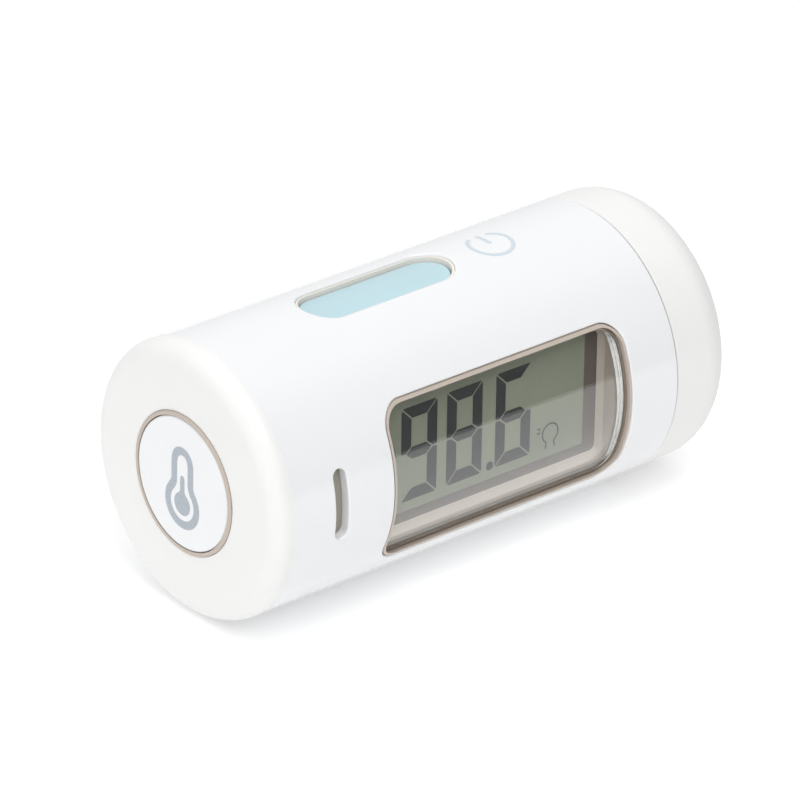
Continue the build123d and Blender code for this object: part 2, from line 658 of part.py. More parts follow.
with BuildPart() as main_board:
    with BuildSketch(BACK.offset(BOARD_FRONT_Y)):
        with Locations(((BOARD_REAR_X + BOARD_FRONT_X) / 2, 0)):
            RectangleRounded(BOARD_FRONT_X - BOARD_REAR_X, 2 * BOARD_HALF_HEIGHT, 2.0)
        with Locations(*BOARD_SCREW_POINTS):
            Circle(BOARD_PILOT_R, mode=Mode.SUBTRACT)
    extrude(amount=BOARD_BACK_Y - BOARD_FRONT_Y)
main_board.part.label = "main_board"
export_step(main_board.part, "parts/main_board.step")

with BuildPart() as board_screws:
    with BuildSketch(BACK.offset(BOARD_BACK_Y + FOOT_T)):
        with Locations(*BOARD_SCREW_POINTS):
            Circle(1.5)
    extrude(amount=1.0)
    with BuildSketch(BACK.offset(BOARD_BACK_Y + FOOT_T)):
        with Locations(*BOARD_SCREW_POINTS):
            Circle(0.8)
    extrude(amount=-6.4)
    with BuildSketch(BACK.offset(BOARD_BACK_Y + FOOT_T + 1.0)):
        with Locations(*BOARD_SCREW_POINTS):
            Rectangle(1.9, 0.4)
            Rectangle(0.4, 1.9)
    extrude(amount=-0.5, mode=Mode.SUBTRACT)
board_screws.part.label = "board_screws"
export_step(board_screws.part, "parts/board_screws.step")

with BuildPart() as microcontroller:
    with BuildSketch(BACK.offset(BOARD_BACK_Y)):
        with Locations(CHIP_PLACE):
            with PolarLocations(CHIP_SIZE / 2 + 0.5, 4):
                with GridLocations(1.0, 0.8, 1, 8):
                    Rectangle(1.4, 0.35)
    extrude(amount=0.2)
    with BuildSketch(BACK.offset(BOARD_BACK_Y)):
        with Locations(CHIP_PLACE):
            Rectangle(CHIP_SIZE, CHIP_SIZE)
    extrude(amount=CHIP_T)
microcontroller.part.label = "microcontroller"
export_step(microcontroller.part, "parts/microcontroller.step")

with BuildPart() as crystal:
    with BuildSketch(BACK.offset(BOARD_BACK_Y)):
        with Locations(CRYSTAL_PLACE):
            RectangleRounded(*CRYSTAL_SIZE, 0.6)
    extrude(amount=CRYSTAL_T)
crystal.part.label = "crystal"
export_step(crystal.part, "parts/crystal.step")

with BuildPart() as chip_components:
    with BuildSketch(BACK.offset(BOARD_BACK_Y)):
        with Locations((-24.6, 0)):
            with GridLocations(2.8, 3.0, 2, 4):
                Rectangle(*PASSIVE_SIZE)
        with Locations((10.0, -9.5)):
            with GridLocations(2.8, 2.4, 3, 2):
                Rectangle(*PASSIVE_SIZE)
    extrude(amount=PASSIVE_T)
chip_components.part.label = "chip_components"
export_step(chip_components.part, "parts/chip_components.step")

with BuildPart() as board_header:
    with BuildSketch(BACK.offset(BOARD_BACK_Y)):
        with Locations((HEADER_X, 0)):
            Rectangle(*HEADER_SIZE)
    extrude(amount=HEADER_T)
board_header.part.label = "board_header"
export_step(board_header.part, "parts/board_header.step")

# ---------------------------------------------------------------- battery

with BuildPart() as battery_tray:
    with BuildSketch(BACK.offset(TRAY_FLOOR_Y - TRAY_FLOOR_T)):
        with Locations((CELL_X, 0)):
            RectangleRounded(TRAY_LENGTH, TRAY_HEIGHT, 3.0)
    extrude(amount=BARREL_R - TRAY_FLOOR_Y + TRAY_FLOOR_T)
    with BuildSketch(Plane.YZ.offset(-SPAN / 2)):
        Circle(TRAY_RIM_R)
    extrude(amount=SPAN, mode=Mode.INTERSECT)
    with BuildSketch(BACK.offset(TRAY_POCKET_Y)):
        with Locations((CELL_X, 0)):
            RectangleRounded(TRAY_LENGTH - 2 * TRAY_WALL, TRAY_HEIGHT - 2 * TRAY_WALL, 1.8)
    extrude(amount=BARREL_R, mode=Mode.SUBTRACT)
    with BuildSketch(BACK.offset(TRAY_FLOOR_Y)):
        with Locations((CELL_X, 0)):
            Circle(CELL_R + 0.2)
        with Locations((CELL_X + FINGER_NOTCH, FINGER_NOTCH), (CELL_X - FINGER_NOTCH, -FINGER_NOTCH)):
            Circle(FINGER_NOTCH_R)
    extrude(amount=BARREL_R, mode=Mode.SUBTRACT)
    with BuildSketch(BACK.offset(TRAY_FLOOR_Y)):
        with Locations(*DOOR_SCREW_POINTS):
            Circle(DOOR_BOSS_R)
    extrude(amount=DOOR_BOSS_TOP_Y - TRAY_FLOOR_Y)
    with BuildSketch(BACK.offset(DOOR_BOSS_TOP_Y)):
        with Locations(*DOOR_SCREW_POINTS):
            Circle(0.95)
    extrude(amount=-5.0, mode=Mode.SUBTRACT)
    with BuildSketch(BACK.offset(BOARD_BACK_Y)):
        with Locations(*[(x, 0) for x in TRAY_RIB_XS]):
            Rectangle(1.4, 14.0)
    extrude(amount=TRAY_FLOOR_Y - TRAY_FLOOR_T - BOARD_BACK_Y)
    with BuildSketch(BACK.offset(BOARD_BACK_Y)):
        with Locations((-18.5, 5.0), (-18.5, -5.0), (15.75, 5.0), (15.75, -5.0)):
            Rectangle(5.4, 4.0)
        with Locations(*BOARD_SCREW_POINTS):
            Circle(BOARD_PILOT_R, mode=Mode.SUBTRACT)
    extrude(amount=FOOT_T)
    with BuildSketch(BACK.offset(TRAY_FLOOR_Y - 0.6)):
        with Locations((CELL_X, 0)):
            Rectangle(12.6, 4.4)
    extrude(amount=0.7, mode=Mode.SUBTRACT)
    with BuildSketch(BACK.offset(TRAY_FLOOR_Y - TRAY_FLOOR_T)):
        with Locations((4.7, 0)):
            Rectangle(0.6, 4.4)
        with Locations((9.0, 0)):
            Rectangle(0.5, 4.4)
    extrude(amount=TRAY_FLOOR_T, mode=Mode.SUBTRACT)
    with BuildSketch(BACK.offset(TRAY_FLOOR_Y)):
        with Locations((9.0, 0)):
            Rectangle(0.5, 4.4)
    extrude(amount=TRAY_POCKET_Y - TRAY_FLOOR_Y + 0.8, mode=Mode.SUBTRACT)
battery_tray.part.label = "battery_tray"
export_step(battery_tray.part, "parts/battery_tray.step")

with BuildPart() as battery_contact_negative:
    with BuildSketch(BACK.offset(NEGATIVE_CONTACT_Y)):
        with Locations((CELL_X + 0.05, 0)):
            Rectangle(12.3, CONTACT_WIDTH)
    extrude(amount=CONTACT_T)
    with BuildSketch(BACK.offset(BOARD_BACK_Y)):
        with Locations((NEGATIVE_LEG_X, 0)):
            Rectangle(CONTACT_T, CONTACT_WIDTH)
    extrude(amount=NEGATIVE_CONTACT_Y - BOARD_BACK_Y)
    with BuildSketch(BACK.offset(NEGATIVE_CONTACT_Y + CONTACT_T)):
        with Locations((CELL_X, 0)):
            Circle(1.2)
    extrude(amount=0.3, taper=40)
battery_contact_negative.part.label = "battery_contact_negative"
export_step(battery_contact_negative.part, "parts/battery_contact_negative.step")

with BuildPart() as battery_contact_positive:
    with BuildSketch(BACK.offset(BOARD_BACK_Y)):
        with Locations((POSITIVE_LEG_X, 0)):
            Rectangle(CONTACT_T, CONTACT_WIDTH)
    extrude(amount=POSITIVE_TOP_Y - BOARD_BACK_Y)
battery_contact_positive.part.label = "battery_contact_positive"
export_step(battery_contact_positive.part, "parts/battery_contact_positive.step")

with BuildPart() as coin_cell:
    with BuildSketch(BACK.offset(CELL_Y)):
        with Locations((CELL_X, 0)):
            Circle(CELL_R - 1.1)
    extrude(amount=0.3)
    with BuildSketch(BACK.offset(CELL_Y + 0.3)):
        with Locations((CELL_X, 0)):
            Circle(CELL_R)
    extrude(amount=CELL_T - 0.3)
    cell_rim = coin_cell.edges().filter_by(GeomType.CIRCLE).sort_by(Axis.Y)[-1]
    fillet(cell_rim, 0.3)
coin_cell.part.label = "coin_cell"
export_step(coin_cell.part, "parts/coin_cell.step")

with BuildPart() as battery_door:
    with BuildSketch(BACK.offset(TRAY_FLOOR_Y)):
        with Locations((CELL_X, 0)):
            RectangleRounded(DOOR_LENGTH - 0.2, DOOR_HEIGHT - 0.2, DOOR_CORNER_R - 0.1)
    extrude(amount=BARREL_R)
    with BuildSketch(Plane.YZ.offset(-SPAN / 2)):
        Circle(BARREL_R)
        Circle(DOOR_INNER_R, mode=Mode.SUBTRACT)
    extrude(amount=SPAN, mode=Mode.INTERSECT)
    fillet(battery_door.edges().filter_by(lambda e: on_barrel_surface(e, BARREL_R)), EDGE_R)
    with BuildSketch(BACK.offset(DOOR_BOSS_TOP_Y + 0.1)):
        with Locations(*DOOR_SCREW_POINTS):
            Circle(2.3)
    extrude(amount=1.4)
    with BuildSketch(BACK.offset(DOOR_BOSS_TOP_Y)):
        with Locations(*DOOR_SCREW_POINTS):
            Circle(0.98)
    extrude(amount=4.0, mode=Mode.SUBTRACT)
    with BuildSketch(BACK.offset(DOOR_SCREW_SEAT_Y)):
        with Locations(*DOOR_SCREW_POINTS):
            Circle(DOOR_SCREW_HEAD_R + 0.1)
    extrude(amount=4.0, mode=Mode.SUBTRACT)
battery_door.part.label = "battery_door"
export_step(battery_door.part, "parts/battery_door.step")

with BuildPart() as battery_door_seal:
    with BuildSketch(BACK.offset(TRAY_FLOOR_Y)):
        with Locations((CELL_X, 0)):
            RectangleRounded(TRAY_LENGTH, TRAY_HEIGHT, 3.0)
            RectangleRounded(
                TRAY_LENGTH - 2 * TRAY_WALL, TRAY_HEIGHT - 2 * TRAY_WALL, 1.8, mode=Mode.SUBTRACT
            )
    extrude(amount=BARREL_R)
    with BuildSketch(Plane.YZ.offset(-SPAN / 2)):
        Circle(DOOR_INNER_R - 0.02)
        Circle(TRAY_RIM_R + 0.05, mode=Mode.SUBTRACT)
    extrude(amount=SPAN, mode=Mode.INTERSECT)
battery_door_seal.part.label = "battery_door_seal"
export_step(battery_door_seal.part, "parts/battery_door_seal.step")


def door_screw(point):
    """One captive battery-door screw: its head, shank and cross recess."""
    with BuildPart() as screw:
        with BuildSketch(BACK.offset(DOOR_SCREW_SEAT_Y)):
            with Locations(point):
                Circle(DOOR_SCREW_HEAD_R)
        extrude(amount=DOOR_SCREW_HEAD_T)
        with BuildSketch(BACK.offset(DOOR_SCREW_SEAT_Y)):
            with Locations(point):
                Circle(DOOR_SCREW_SHANK_R)
        extrude(amount=-DOOR_SCREW_LENGTH)
        with BuildSketch(BACK.offset(DOOR_SCREW_SEAT_Y + DOOR_SCREW_HEAD_T)):
            with Locations(point):
                Rectangle(*DOOR_SCREW_SLOT)
                Rectangle(*DOOR_SCREW_SLOT, rotation=90)
        extrude(amount=-0.6, mode=Mode.SUBTRACT)
    return screw.part


for name, point in zip(("door_screw_rear", "door_screw_front"), DOOR_SCREW_POINTS):
    solid = door_screw(point)
    solid.label = name
    export_step(solid, f"parts/{name}.step")

# ---------------------------------------------------------------- front collar and probe

with BuildPart() as front_collar:
    with BuildSketch(Plane.XZ):
        with BuildLine():
            Polyline(
                (COLLAR_X, PROBE_BASE_R + 0.05),
                (COLLAR_X, INNER_R),
                (SEAM_X, INNER_R),
                (SEAM_X, SEAM_R),
                (SEAM_X + SEAM_T, SEAM_R),
                (SEAM_X + SEAM_T, SPIGOT_R),
                (GRIP_X - GRIP_GROOVE / 2, SPIGOT_R),
                (GRIP_X - GRIP_GROOVE / 2, GRIP_FLOOR_R),
                (GRIP_X + GRIP_GROOVE / 2, GRIP_FLOOR_R),
                (GRIP_X + GRIP_GROOVE / 2, SPIGOT_R),
                (SPIGOT_END_X - SPIGOT_LEAD, SPIGOT_R),
                (SPIGOT_END_X, SPIGOT_R - SPIGOT_LEAD),
                (SPIGOT_END_X, 15.2),
                (COLLAR_WEB_X + 1.5, 14.4),
                (COLLAR_WEB_X, 12.6),
                (COLLAR_WEB_X, PROBE_BASE_R + 0.05),
                close=True,
            )
        make_face()
    revolve(axis=Axis.X)
    with BuildSketch(Plane.YZ.offset(COLLAR_X)):
        with Locations(*PROBE_SCREW_POINTS):
            Circle(PILOT_R)
    extrude(amount=1.7, mode=Mode.SUBTRACT)
front_collar.part.label = "front_collar"
export_step(front_collar.part, "parts/front_collar.step")

with BuildPart() as cap_grip_ring:
    with BuildSketch(Plane.XZ):
        with Locations((GRIP_X, GRIP_FLOOR_R + GRIP_R)):
            Circle(GRIP_R)
    revolve(axis=Axis.X)
cap_grip_ring.part.label = "cap_grip_ring"
export_step(cap_grip_ring.part, "parts/cap_grip_ring.step")

with BuildPart() as probe_cone:
    with BuildSketch(Plane.XZ):
        with BuildLine():
            Polyline(
                (PROBE_FLANGE_X, HOLDER_R + 0.05),
                (PROBE_FLANGE_X, PROBE_BOSS_R),
                (COLLAR_X, PROBE_BOSS_R),
                (COLLAR_X, PROBE_BASE_R),
                (COLLAR_WEB_X + 0.6, PROBE_BASE_R),
                (COLLAR_WEB_X + 0.6, 7.9),
                (COLLAR_WEB_X + 1.4, 7.7),
                (PROBE_TIP_X - 0.9, 4.6),
                (PROBE_TIP_X, 4.1),
                (PROBE_TIP_X, PROBE_BORE_R),
                (HOLDER_STEP_X + 0.05, PROBE_BORE_R),
                (HOLDER_STEP_X + 0.05, HOLDER_R + 0.05),
                close=True,
            )
        make_face()
    revolve(axis=Axis.X)
    shoulder = probe_cone.edges().filter_by(GeomType.CIRCLE)
    fillet(shoulder.filter_by_position(Axis.X, PROBE_TIP_X - 1.0, PROBE_TIP_X - 0.8), 0.8)
    with BuildSketch(Plane.YZ.offset(PROBE_FLANGE_X)):
        with Locations(*PROBE_SCREW_POINTS):
            Circle(PILOT_R)
    extrude(amount=1.5, mode=Mode.SUBTRACT)
    with BuildSketch(Plane.YZ.offset(PROBE_FLANGE_X)):
        with Locations(*PROBE_SCREW_POINTS):
            Circle(1.35)
    extrude(amount=0.9, mode=Mode.SUBTRACT)
probe_cone.part.label = "probe_cone"
export_step(probe_cone.part, "parts/probe_cone.step")

with BuildPart() as probe_screws:
    with BuildSketch(Plane.YZ.offset(PROBE_FLANGE_X)):
        with Locations(*PROBE_SCREW_POINTS):
            Circle(SCREW_HEAD_R)
    extrude(amount=0.9)
    with BuildSketch(Plane.YZ.offset(PROBE_FLANGE_X + 0.9)):
        with Locations(*PROBE_SCREW_POINTS):
            Circle(SCREW_SHANK_R)
    extrude(amount=2.2)
    with BuildSketch(Plane.YZ.offset(PROBE_FLANGE_X)):
        with Locations(*PROBE_SCREW_POINTS):
            Rectangle(*SCREW_SLOT)
            Rectangle(*SCREW_SLOT, rotation=90)
    extrude(amount=0.5, mode=Mode.SUBTRACT)
probe_screws.part.label = "probe_screws"
export_step(probe_screws.part, "parts/probe_screws.step")

with BuildPart() as sensor_holder:
    with BuildSketch(Plane.YZ.offset(HOLDER_X)):
        Circle(HOLDER_R)
    extrude(amount=HOLDER_STEP_X - HOLDER_X)
    with BuildSketch(Plane.YZ.offset(HOLDER_STEP_X)):
        Circle(PROBE_BORE_R - 0.05)
    extrude(amount=WINDOW_SEAT_X - HOLDER_STEP_X)
    with BuildSketch(Plane.YZ.offset(HOLDER_X)):
        Circle(SENSOR_FLANGE_R + 0.05)
    extrude(amount=SENSOR_FRONT_X - HOLDER_X, mode=Mode.SUBTRACT)
    with BuildSketch(Plane.YZ.offset(SENSOR_FRONT_X)):
        Circle(WAVEGUIDE_R + 0.03)
    extrude(amount=WINDOW_SEAT_X - SENSOR_FRONT_X, mode=Mode.SUBTRACT)
sensor_holder.part.label = "sensor_holder"
export_step(sensor_holder.part, "parts/sensor_holder.step")

with BuildPart() as thermopile_sensor:
    with BuildSketch(Plane.YZ.offset(SENSOR_X)):
        Circle(SENSOR_FLANGE_R)
    extrude(amount=0.5)
    with BuildSketch(Plane.YZ.offset(SENSOR_X)):
        Circle(SENSOR_CAN_R)
    extrude(amount=SENSOR_LENGTH)
    with BuildSketch(Plane.YZ.offset(SENSOR_X + SENSOR_LENGTH)):
        Circle(SENSOR_EYE_R)
    extrude(amount=-0.3, mode=Mode.SUBTRACT)
thermopile_sensor.part.label = "thermopile_sensor"
export_step(thermopile_sensor.part, "parts/thermopile_sensor.step")

with BuildPart() as sensor_leads:
    with BuildSketch(Plane.YZ.offset(SENSOR_X - LEAD_LENGTH)):
        with PolarLocations(LEAD_CIRCLE_R, 4, start_angle=45):
            Circle(LEAD_R)
    extrude(amount=LEAD_LENGTH)
sensor_leads.part.label = "sensor_leads"
export_step(sensor_leads.part, "parts/sensor_leads.step")

with BuildPart() as sensor_board:
    with BuildSketch(Plane.YZ.offset(SENSOR_BOARD_X)):
        Circle(SENSOR_BOARD_R)
        with PolarLocations(LEAD_CIRCLE_R, 4, start_angle=45):
            Circle(LEAD_R + 0.05, mode=Mode.SUBTRACT)
    extrude(amount=SENSOR_BOARD_T)
sensor_board.part.label = "sensor_board"
export_step(sensor_board.part, "parts/sensor_board.step")

with BuildPart() as sensor_ribbon:
    with BuildSketch(Plane.XY.offset(-RIBBON_WIDTH / 2)):
        with BuildLine():
            Polyline(
                (RIBBON_START_X, BOARD_BACK_Y),
                (RIBBON_END_X, BOARD_BACK_Y),
                (RIBBON_END_X, RIBBON_TOP_Y),
                (RIBBON_END_X - RIBBON_T, RIBBON_TOP_Y),
                (RIBBON_END_X - RIBBON_T, BOARD_BACK_Y + RIBBON_T),
                (RIBBON_START_X, BOARD_BACK_Y + RIBBON_T),
                close=True,
            )
        make_face()
    extrude(amount=RIBBON_WIDTH)
sensor_ribbon.part.label = "sensor_ribbon"
export_step(sensor_ribbon.part, "parts/sensor_ribbon.step")

with BuildPart() as waveguide_tube:
    with BuildSketch(Plane.YZ.offset(SENSOR_FRONT_X + 0.05)):
        Circle(WAVEGUIDE_R)
        Circle(WAVEGUIDE_BORE_R, mode=Mode.SUBTRACT)
    extrude(amount=WINDOW_SEAT_X - SENSOR_FRONT_X - 0.1)
waveguide_tube.part.label = "waveguide_tube"
export_step(waveguide_tube.part, "parts/waveguide_tube.step")

with BuildPart() as probe_window:
    with BuildSketch(Plane.YZ.offset(WINDOW_SEAT_X)):
        Circle(PROBE_BORE_R - 0.05)
    extrude(amount=IR_WINDOW_T)
probe_window.part.label = "probe_window"
export_step(probe_window.part, "parts/probe_window.step")

with BuildPart() as probe_tip_ring:
    with BuildSketch(Plane.YZ.offset(WINDOW_SEAT_X + IR_WINDOW_T)):
        Circle(PROBE_BORE_R - 0.03)
        Circle(TIP_RING_BORE_R, mode=Mode.SUBTRACT)
    extrude(amount=PROBE_TIP_X - WINDOW_SEAT_X - IR_WINDOW_T)
probe_tip_ring.part.label = "probe_tip_ring"
export_step(probe_tip_ring.part, "parts/probe_tip_ring.step")

with BuildPart() as probe_cap:
    with BuildSketch(Plane.YZ.offset(SEAM_X + 0.35)):
        Circle(CAP_OUTER_R)
    extrude(amount=CAP_END_X - SEAM_X - 0.35)
    cap_rim = probe_cap.edges().filter_by(GeomType.CIRCLE).sort_by(Axis.X)
    fillet(cap_rim[-1], CAP_RIM_R)
    fillet(cap_rim[0], 0.15)
    with BuildSketch(Plane.XZ):
        with BuildLine():
            Line((SEAM_X, 0), (SEAM_X, CAP_BORE_R))
            Line((SEAM_X, CAP_BORE_R), (CAP_END_X - CAP_RIM_R, CAP_BORE_R))
            RadiusArc(
                (CAP_END_X - CAP_RIM_R, CAP_BORE_R),
                (CAP_END_X - CAP_END_T, CAP_BORE_R - CAP_RIM_R + CAP_END_T),
                CAP_RIM_R - CAP_END_T,
            )
            Line((CAP_END_X - CAP_END_T, CAP_BORE_R - CAP_RIM_R + CAP_END_T), (CAP_END_X - CAP_END_T, 0))
            Line((CAP_END_X - CAP_END_T, 0), (SEAM_X, 0))
        make_face()
    revolve(axis=Axis.X, mode=Mode.SUBTRACT)
probe_cap.part.label = "probe_cap"
export_step(probe_cap.part, "parts/probe_cap.step")
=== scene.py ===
"""Ear thermometer: the looks of a small round digital ear thermometer, laid out as a Blender add-on.

Metres. X runs along the barrel from the scan button (-X) to the probe cap (+X), the display
faces -Y, the power button +Z and the battery door +Y. The origin is on the barrel's axis.
"""

import bpy
import numpy as np
from bpy.props import FloatProperty, FloatVectorProperty, PointerProperty
from mathutils import Matrix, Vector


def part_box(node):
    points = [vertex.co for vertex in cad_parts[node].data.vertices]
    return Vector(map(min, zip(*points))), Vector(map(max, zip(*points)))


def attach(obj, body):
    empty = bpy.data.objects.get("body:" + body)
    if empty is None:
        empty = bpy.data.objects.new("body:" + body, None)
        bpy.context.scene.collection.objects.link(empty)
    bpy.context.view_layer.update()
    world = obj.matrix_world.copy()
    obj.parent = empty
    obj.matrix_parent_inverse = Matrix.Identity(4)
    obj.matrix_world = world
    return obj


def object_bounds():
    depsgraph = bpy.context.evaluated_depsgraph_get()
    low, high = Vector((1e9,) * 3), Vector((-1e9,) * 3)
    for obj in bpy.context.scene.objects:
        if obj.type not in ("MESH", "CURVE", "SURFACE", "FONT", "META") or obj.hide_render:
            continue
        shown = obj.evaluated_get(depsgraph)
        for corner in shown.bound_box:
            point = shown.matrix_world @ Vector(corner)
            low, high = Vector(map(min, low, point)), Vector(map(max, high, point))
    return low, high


bl_info = {
    "name": "Ear Thermometer",
    "version": (1, 0, 0),
    "blender": (4, 5, 0),
    "location": "3D View > Sidebar > Thermometer",
    "description": "Builds the visible pieces, finishes and studio of a digital ear thermometer",
    "category": "Object",
}

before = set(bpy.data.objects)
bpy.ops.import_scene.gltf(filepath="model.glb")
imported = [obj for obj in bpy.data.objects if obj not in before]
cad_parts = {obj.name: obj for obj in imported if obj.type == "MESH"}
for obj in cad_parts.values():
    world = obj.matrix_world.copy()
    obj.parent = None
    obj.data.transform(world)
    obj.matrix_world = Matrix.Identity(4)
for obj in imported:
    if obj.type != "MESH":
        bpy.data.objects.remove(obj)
cad_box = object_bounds()
MM = 0.001
PRINT_HEIGHT = 0.02 * MM


def tint(red, green, blue):
    """Linear colour of an sRGB colour given in steps of 0 to 255."""
    share = np.array((red, green, blue), float) / 255
    return tuple(np.where(share > 0.04045, ((share + 0.055) / 1.055) ** 2.4, share / 12.92))


# ---------------------------------------------------------------- sizes and colours


def length(name, text, metres):
    """A size property in metres."""
    return FloatProperty(name=name, description=text, default=metres, unit="LENGTH", precision=5)


def degrees(name, text, value):
    """An angle property in degrees."""
    return FloatProperty(name=name, description=text, default=value)


def colour(name, text, value):
    """A linear colour property."""
    return FloatVectorProperty(
        name=name, description=text, default=value, subtype="COLOR", size=3, min=0, max=1
    )


class StageSettings(bpy.types.PropertyGroup):
    """Camera, floor and lamps."""

    distance: length("Camera distance", "From the barrel's middle to the camera", 0.859254)
    azimuth: degrees("Azimuth", "Turn of the camera from the display side", -40.621)
    elevation: degrees("Elevation", "Height of the camera above the level", 27.70)
    roll: degrees("Roll", "Tilt of the picture", 1.374)
    focal: FloatProperty(name="Focal length", description="Lens in millimetres", default=295.54)
    aim_right: length("Aim right", "How far right of the barrel's middle it aims", -0.00238)
    aim_up: length("Aim up", "How far above the barrel's middle it aims", -0.00046)
    floor_size: length("Floor size", "Width of the floor", 0.5)
    floor_shift: length("Floor shift", "Middle of the floor along the barrel", -0.12)
    floor_colour: colour("Floor colour", "Sheet of the light table", (0.8, 0.8, 0.8))
    floor_glow: FloatProperty(name="Floor glow", description="Light from under the sheet", default=0.27)
    top_power: FloatProperty(name="Top lamp", description="Power of the overhead box", default=2.2)
    front_power: FloatProperty(name="Front lamp", description="Power of the front box", default=4.3)
    left_power: FloatProperty(name="Left lamp", description="Power of the left box", default=0.3)
    room: FloatProperty(name="Room light", description="Strength of the room's walls", default=0.74)
    shade: FloatProperty(name="Room shade", description="Strength of its dark side", default=0.06)


class ShellSettings(bpy.types.PropertyGroup):
    """Colours of the moulded shell and its prints."""

    gloss_white: colour("Gloss white", "Barrel and scan button", (0.845, 0.855, 0.868))
    matte_white: colour("Matte white", "Rear cap, probe cap and door", (0.85, 0.85, 0.842))
    # Beige is partly the surround's own colour and partly painted shade of white walls in their
    # recesses; on the scan button's ring it also paints the shaded gap round the button.
    beige: colour("Beige", "Display surround and trim", tint(196, 184, 173))
    # Pale beige round the power button: partly the surround's own colour, partly painted shade of the
    # key's recess wall.
    liner: colour("Pale beige", "Liner round the power button", tint(236, 230, 222))
    blue: colour("Light blue", "Power button", tint(186, 215, 223))
    print_blue: colour("Printed blue", "Power mark on the barrel", tint(206, 217, 225))
    print_grey: colour("Printed grey", "Mark on the scan button", tint(170, 178, 187))
    power_mark_x: length("Power mark place", "Middle of the mark along the barrel", 11.55 * MM)
    power_mark_turn: length("Power mark offset", "Middle of the mark round the barrel", -0.25 * MM)
    power_mark_radius: length("Power mark radius", "Middle of its ring's line", 3.0 * MM)
    power_mark_stroke: length("Power mark stroke", "Width of its line", 0.6 * MM)
    scan_bulb: length("Scan mark bulb", "Radius of the sign's bulb", 2.95 * MM)
    scan_tube: length("Scan mark tube", "Radius of the sign's tube", 1.65 * MM)
    scan_height: length("Scan mark height", "From the bulb's middle to the tube's top", 6.0 * MM)
    scan_stroke: length("Scan mark stroke", "Width of the sign's outline", 1.15 * MM)


class DisplaySettings(bpy.types.PropertyGroup):
    """Sizes of the display's segments."""

    digit_width: length("Digit width", "Outer width of one digit", 6.2 * MM)
    digit_height: length("Digit height", "Outer height of one digit", 13.4 * MM)
    digit_base: length("Digit base", "Height of the digits' feet", -5.6 * MM)
    stroke: length("Stroke", "Width of one segment", 1.85 * MM)
    gap: length("Gap", "Gap between segments", 0.2 * MM)
    border: length("Border", "Width of the unlit border at the probe end", 2.15 * MM)
    cell_colour: colour("Cell colour", "Background of the display", tint(141, 146, 129))
    ink_colour: colour("Segment colour", "Lit segments", tint(12, 15, 20))
    border_colour: colour("Border colour", "Unlit border", tint(96, 88, 82))
    lens_corner: length("Lens corner", "Corner radius of the lens", 2.56 * MM)
    # Dark strip round the lens: painted shade standing in for the shadowed gap between lens and
    # surround.
    shade_strip_width: length("Painted shade width", "Width of the painted shade strip round the lens", 0.3 * MM)
    shade_strip_sink: length("Painted shade sink", "From the lens's skin out to the top of the painted shade strip", 0.1 * MM)
    painted_shade_colour: colour("Painted shade colour", "Painted shade strip round the lens", tint(128, 117, 104))
    # White strip under the lens's rim: a painted highlight of the lens's edge.
    glint_width: length("Glint width", "Width of the white tape under the lens", 0.42 * MM)


# ---------------------------------------------------------------- node trees


def add_node(tree, kind, inputs=None, **settings):
    """A node with its settings and with each named input set to a value or linked to a socket."""
    made = tree.nodes.new(kind)
    for key, value in settings.items():
        setattr(made, key, value)
    for key, value in (inputs or {}).items():
        if isinstance(value, bpy.types.NodeSocket):
            tree.links.new(value, made.inputs[key])
        else:
            made.inputs[key].default_value = value
    return made


def new_tree(name):
    """An empty material: itself, its tree, its object coordinates and its output."""
    made = bpy.data.materials.new(name)
    made.use_nodes = True
    tree = made.node_tree
    tree.nodes.clear()
    place = tree.nodes.new("ShaderNodeTexCoord").outputs["Object"]
    output = tree.nodes.new("ShaderNodeOutputMaterial")
    return made, tree, place, output


def noise(tree, place, size, detail=2.0, stretch=(1, 1, 1)):
    """Noise whose features are about size metres across, squeezed by stretch."""
    moved = add_node(tree, "ShaderNodeMapping", {"Vector": place, "Scale": stretch})
    made = add_node(
        tree,
        "ShaderNodeTexNoise",
        {"Vector": moved.outputs["Vector"], "Scale": 1 / size, "Detail": detail},
    )
    return made.outputs["Fac"]


def bands(tree, place, pitch, direction="X", distortion=0.0):
    """Even bands across direction, pitch metres apart."""
    turn = 2 * np.pi
    made = add_node(
        tree,
        "ShaderNodeTexWave",
        {"Vector": place, "Scale": turn / pitch / 20, "Distortion": distortion, "Detail": 1.0},
        bands_direction=direction,
    )
    return made.outputs["Fac"]


def ramp(tree, factor, stops, sharp=False):
    """Colour along factor: stops is a list of (position, colour)."""
    made = add_node(tree, "ShaderNodeValToRGB", {"Fac": factor})
    made.color_ramp.interpolation = "CONSTANT" if sharp else "LINEAR"
    elements = made.color_ramp.elements
    while len(elements) < len(stops):
        elements.new(1)
    for element, (position, shade) in zip(elements, stops):
        element.position = position
        element.color = (*shade, 1)
    return made.outputs["Color"]


def spread(tree, factor, low, high, start=0.3, end=0.7):
    """Takes factor's start to end to low to high."""
    made = add_node(
        tree,
        "ShaderNodeMapRange",
        {"Value": factor, "From Min": start, "From Max": end, "To Min": low, "To Max": high},
    )
    return made.outputs["Result"]


def relief(tree, height, depth):
    """Normal of a surface relief depth metres high."""
    made = add_node(tree, "ShaderNodeBump", {"Height": height, "Strength": 1.0, "Distance": depth})
    return made.outputs["Normal"]


def mix_colour(tree, factor, first, second):
    """first and second colour mixed by factor."""
    made = add_node(tree, "ShaderNodeMix", {0: factor}, data_type="RGBA")
    for index, value in ((6, first), (7, second)):
        if isinstance(value, bpy.types.NodeSocket):
            tree.links.new(value, made.inputs[index])
        else:
            made.inputs[index].default_value = (*value, 1)
    return made.outputs[2]


def darker(value, share):
    """A colour with every channel times share."""
    return tuple(np.array(value[:3], float) * share)


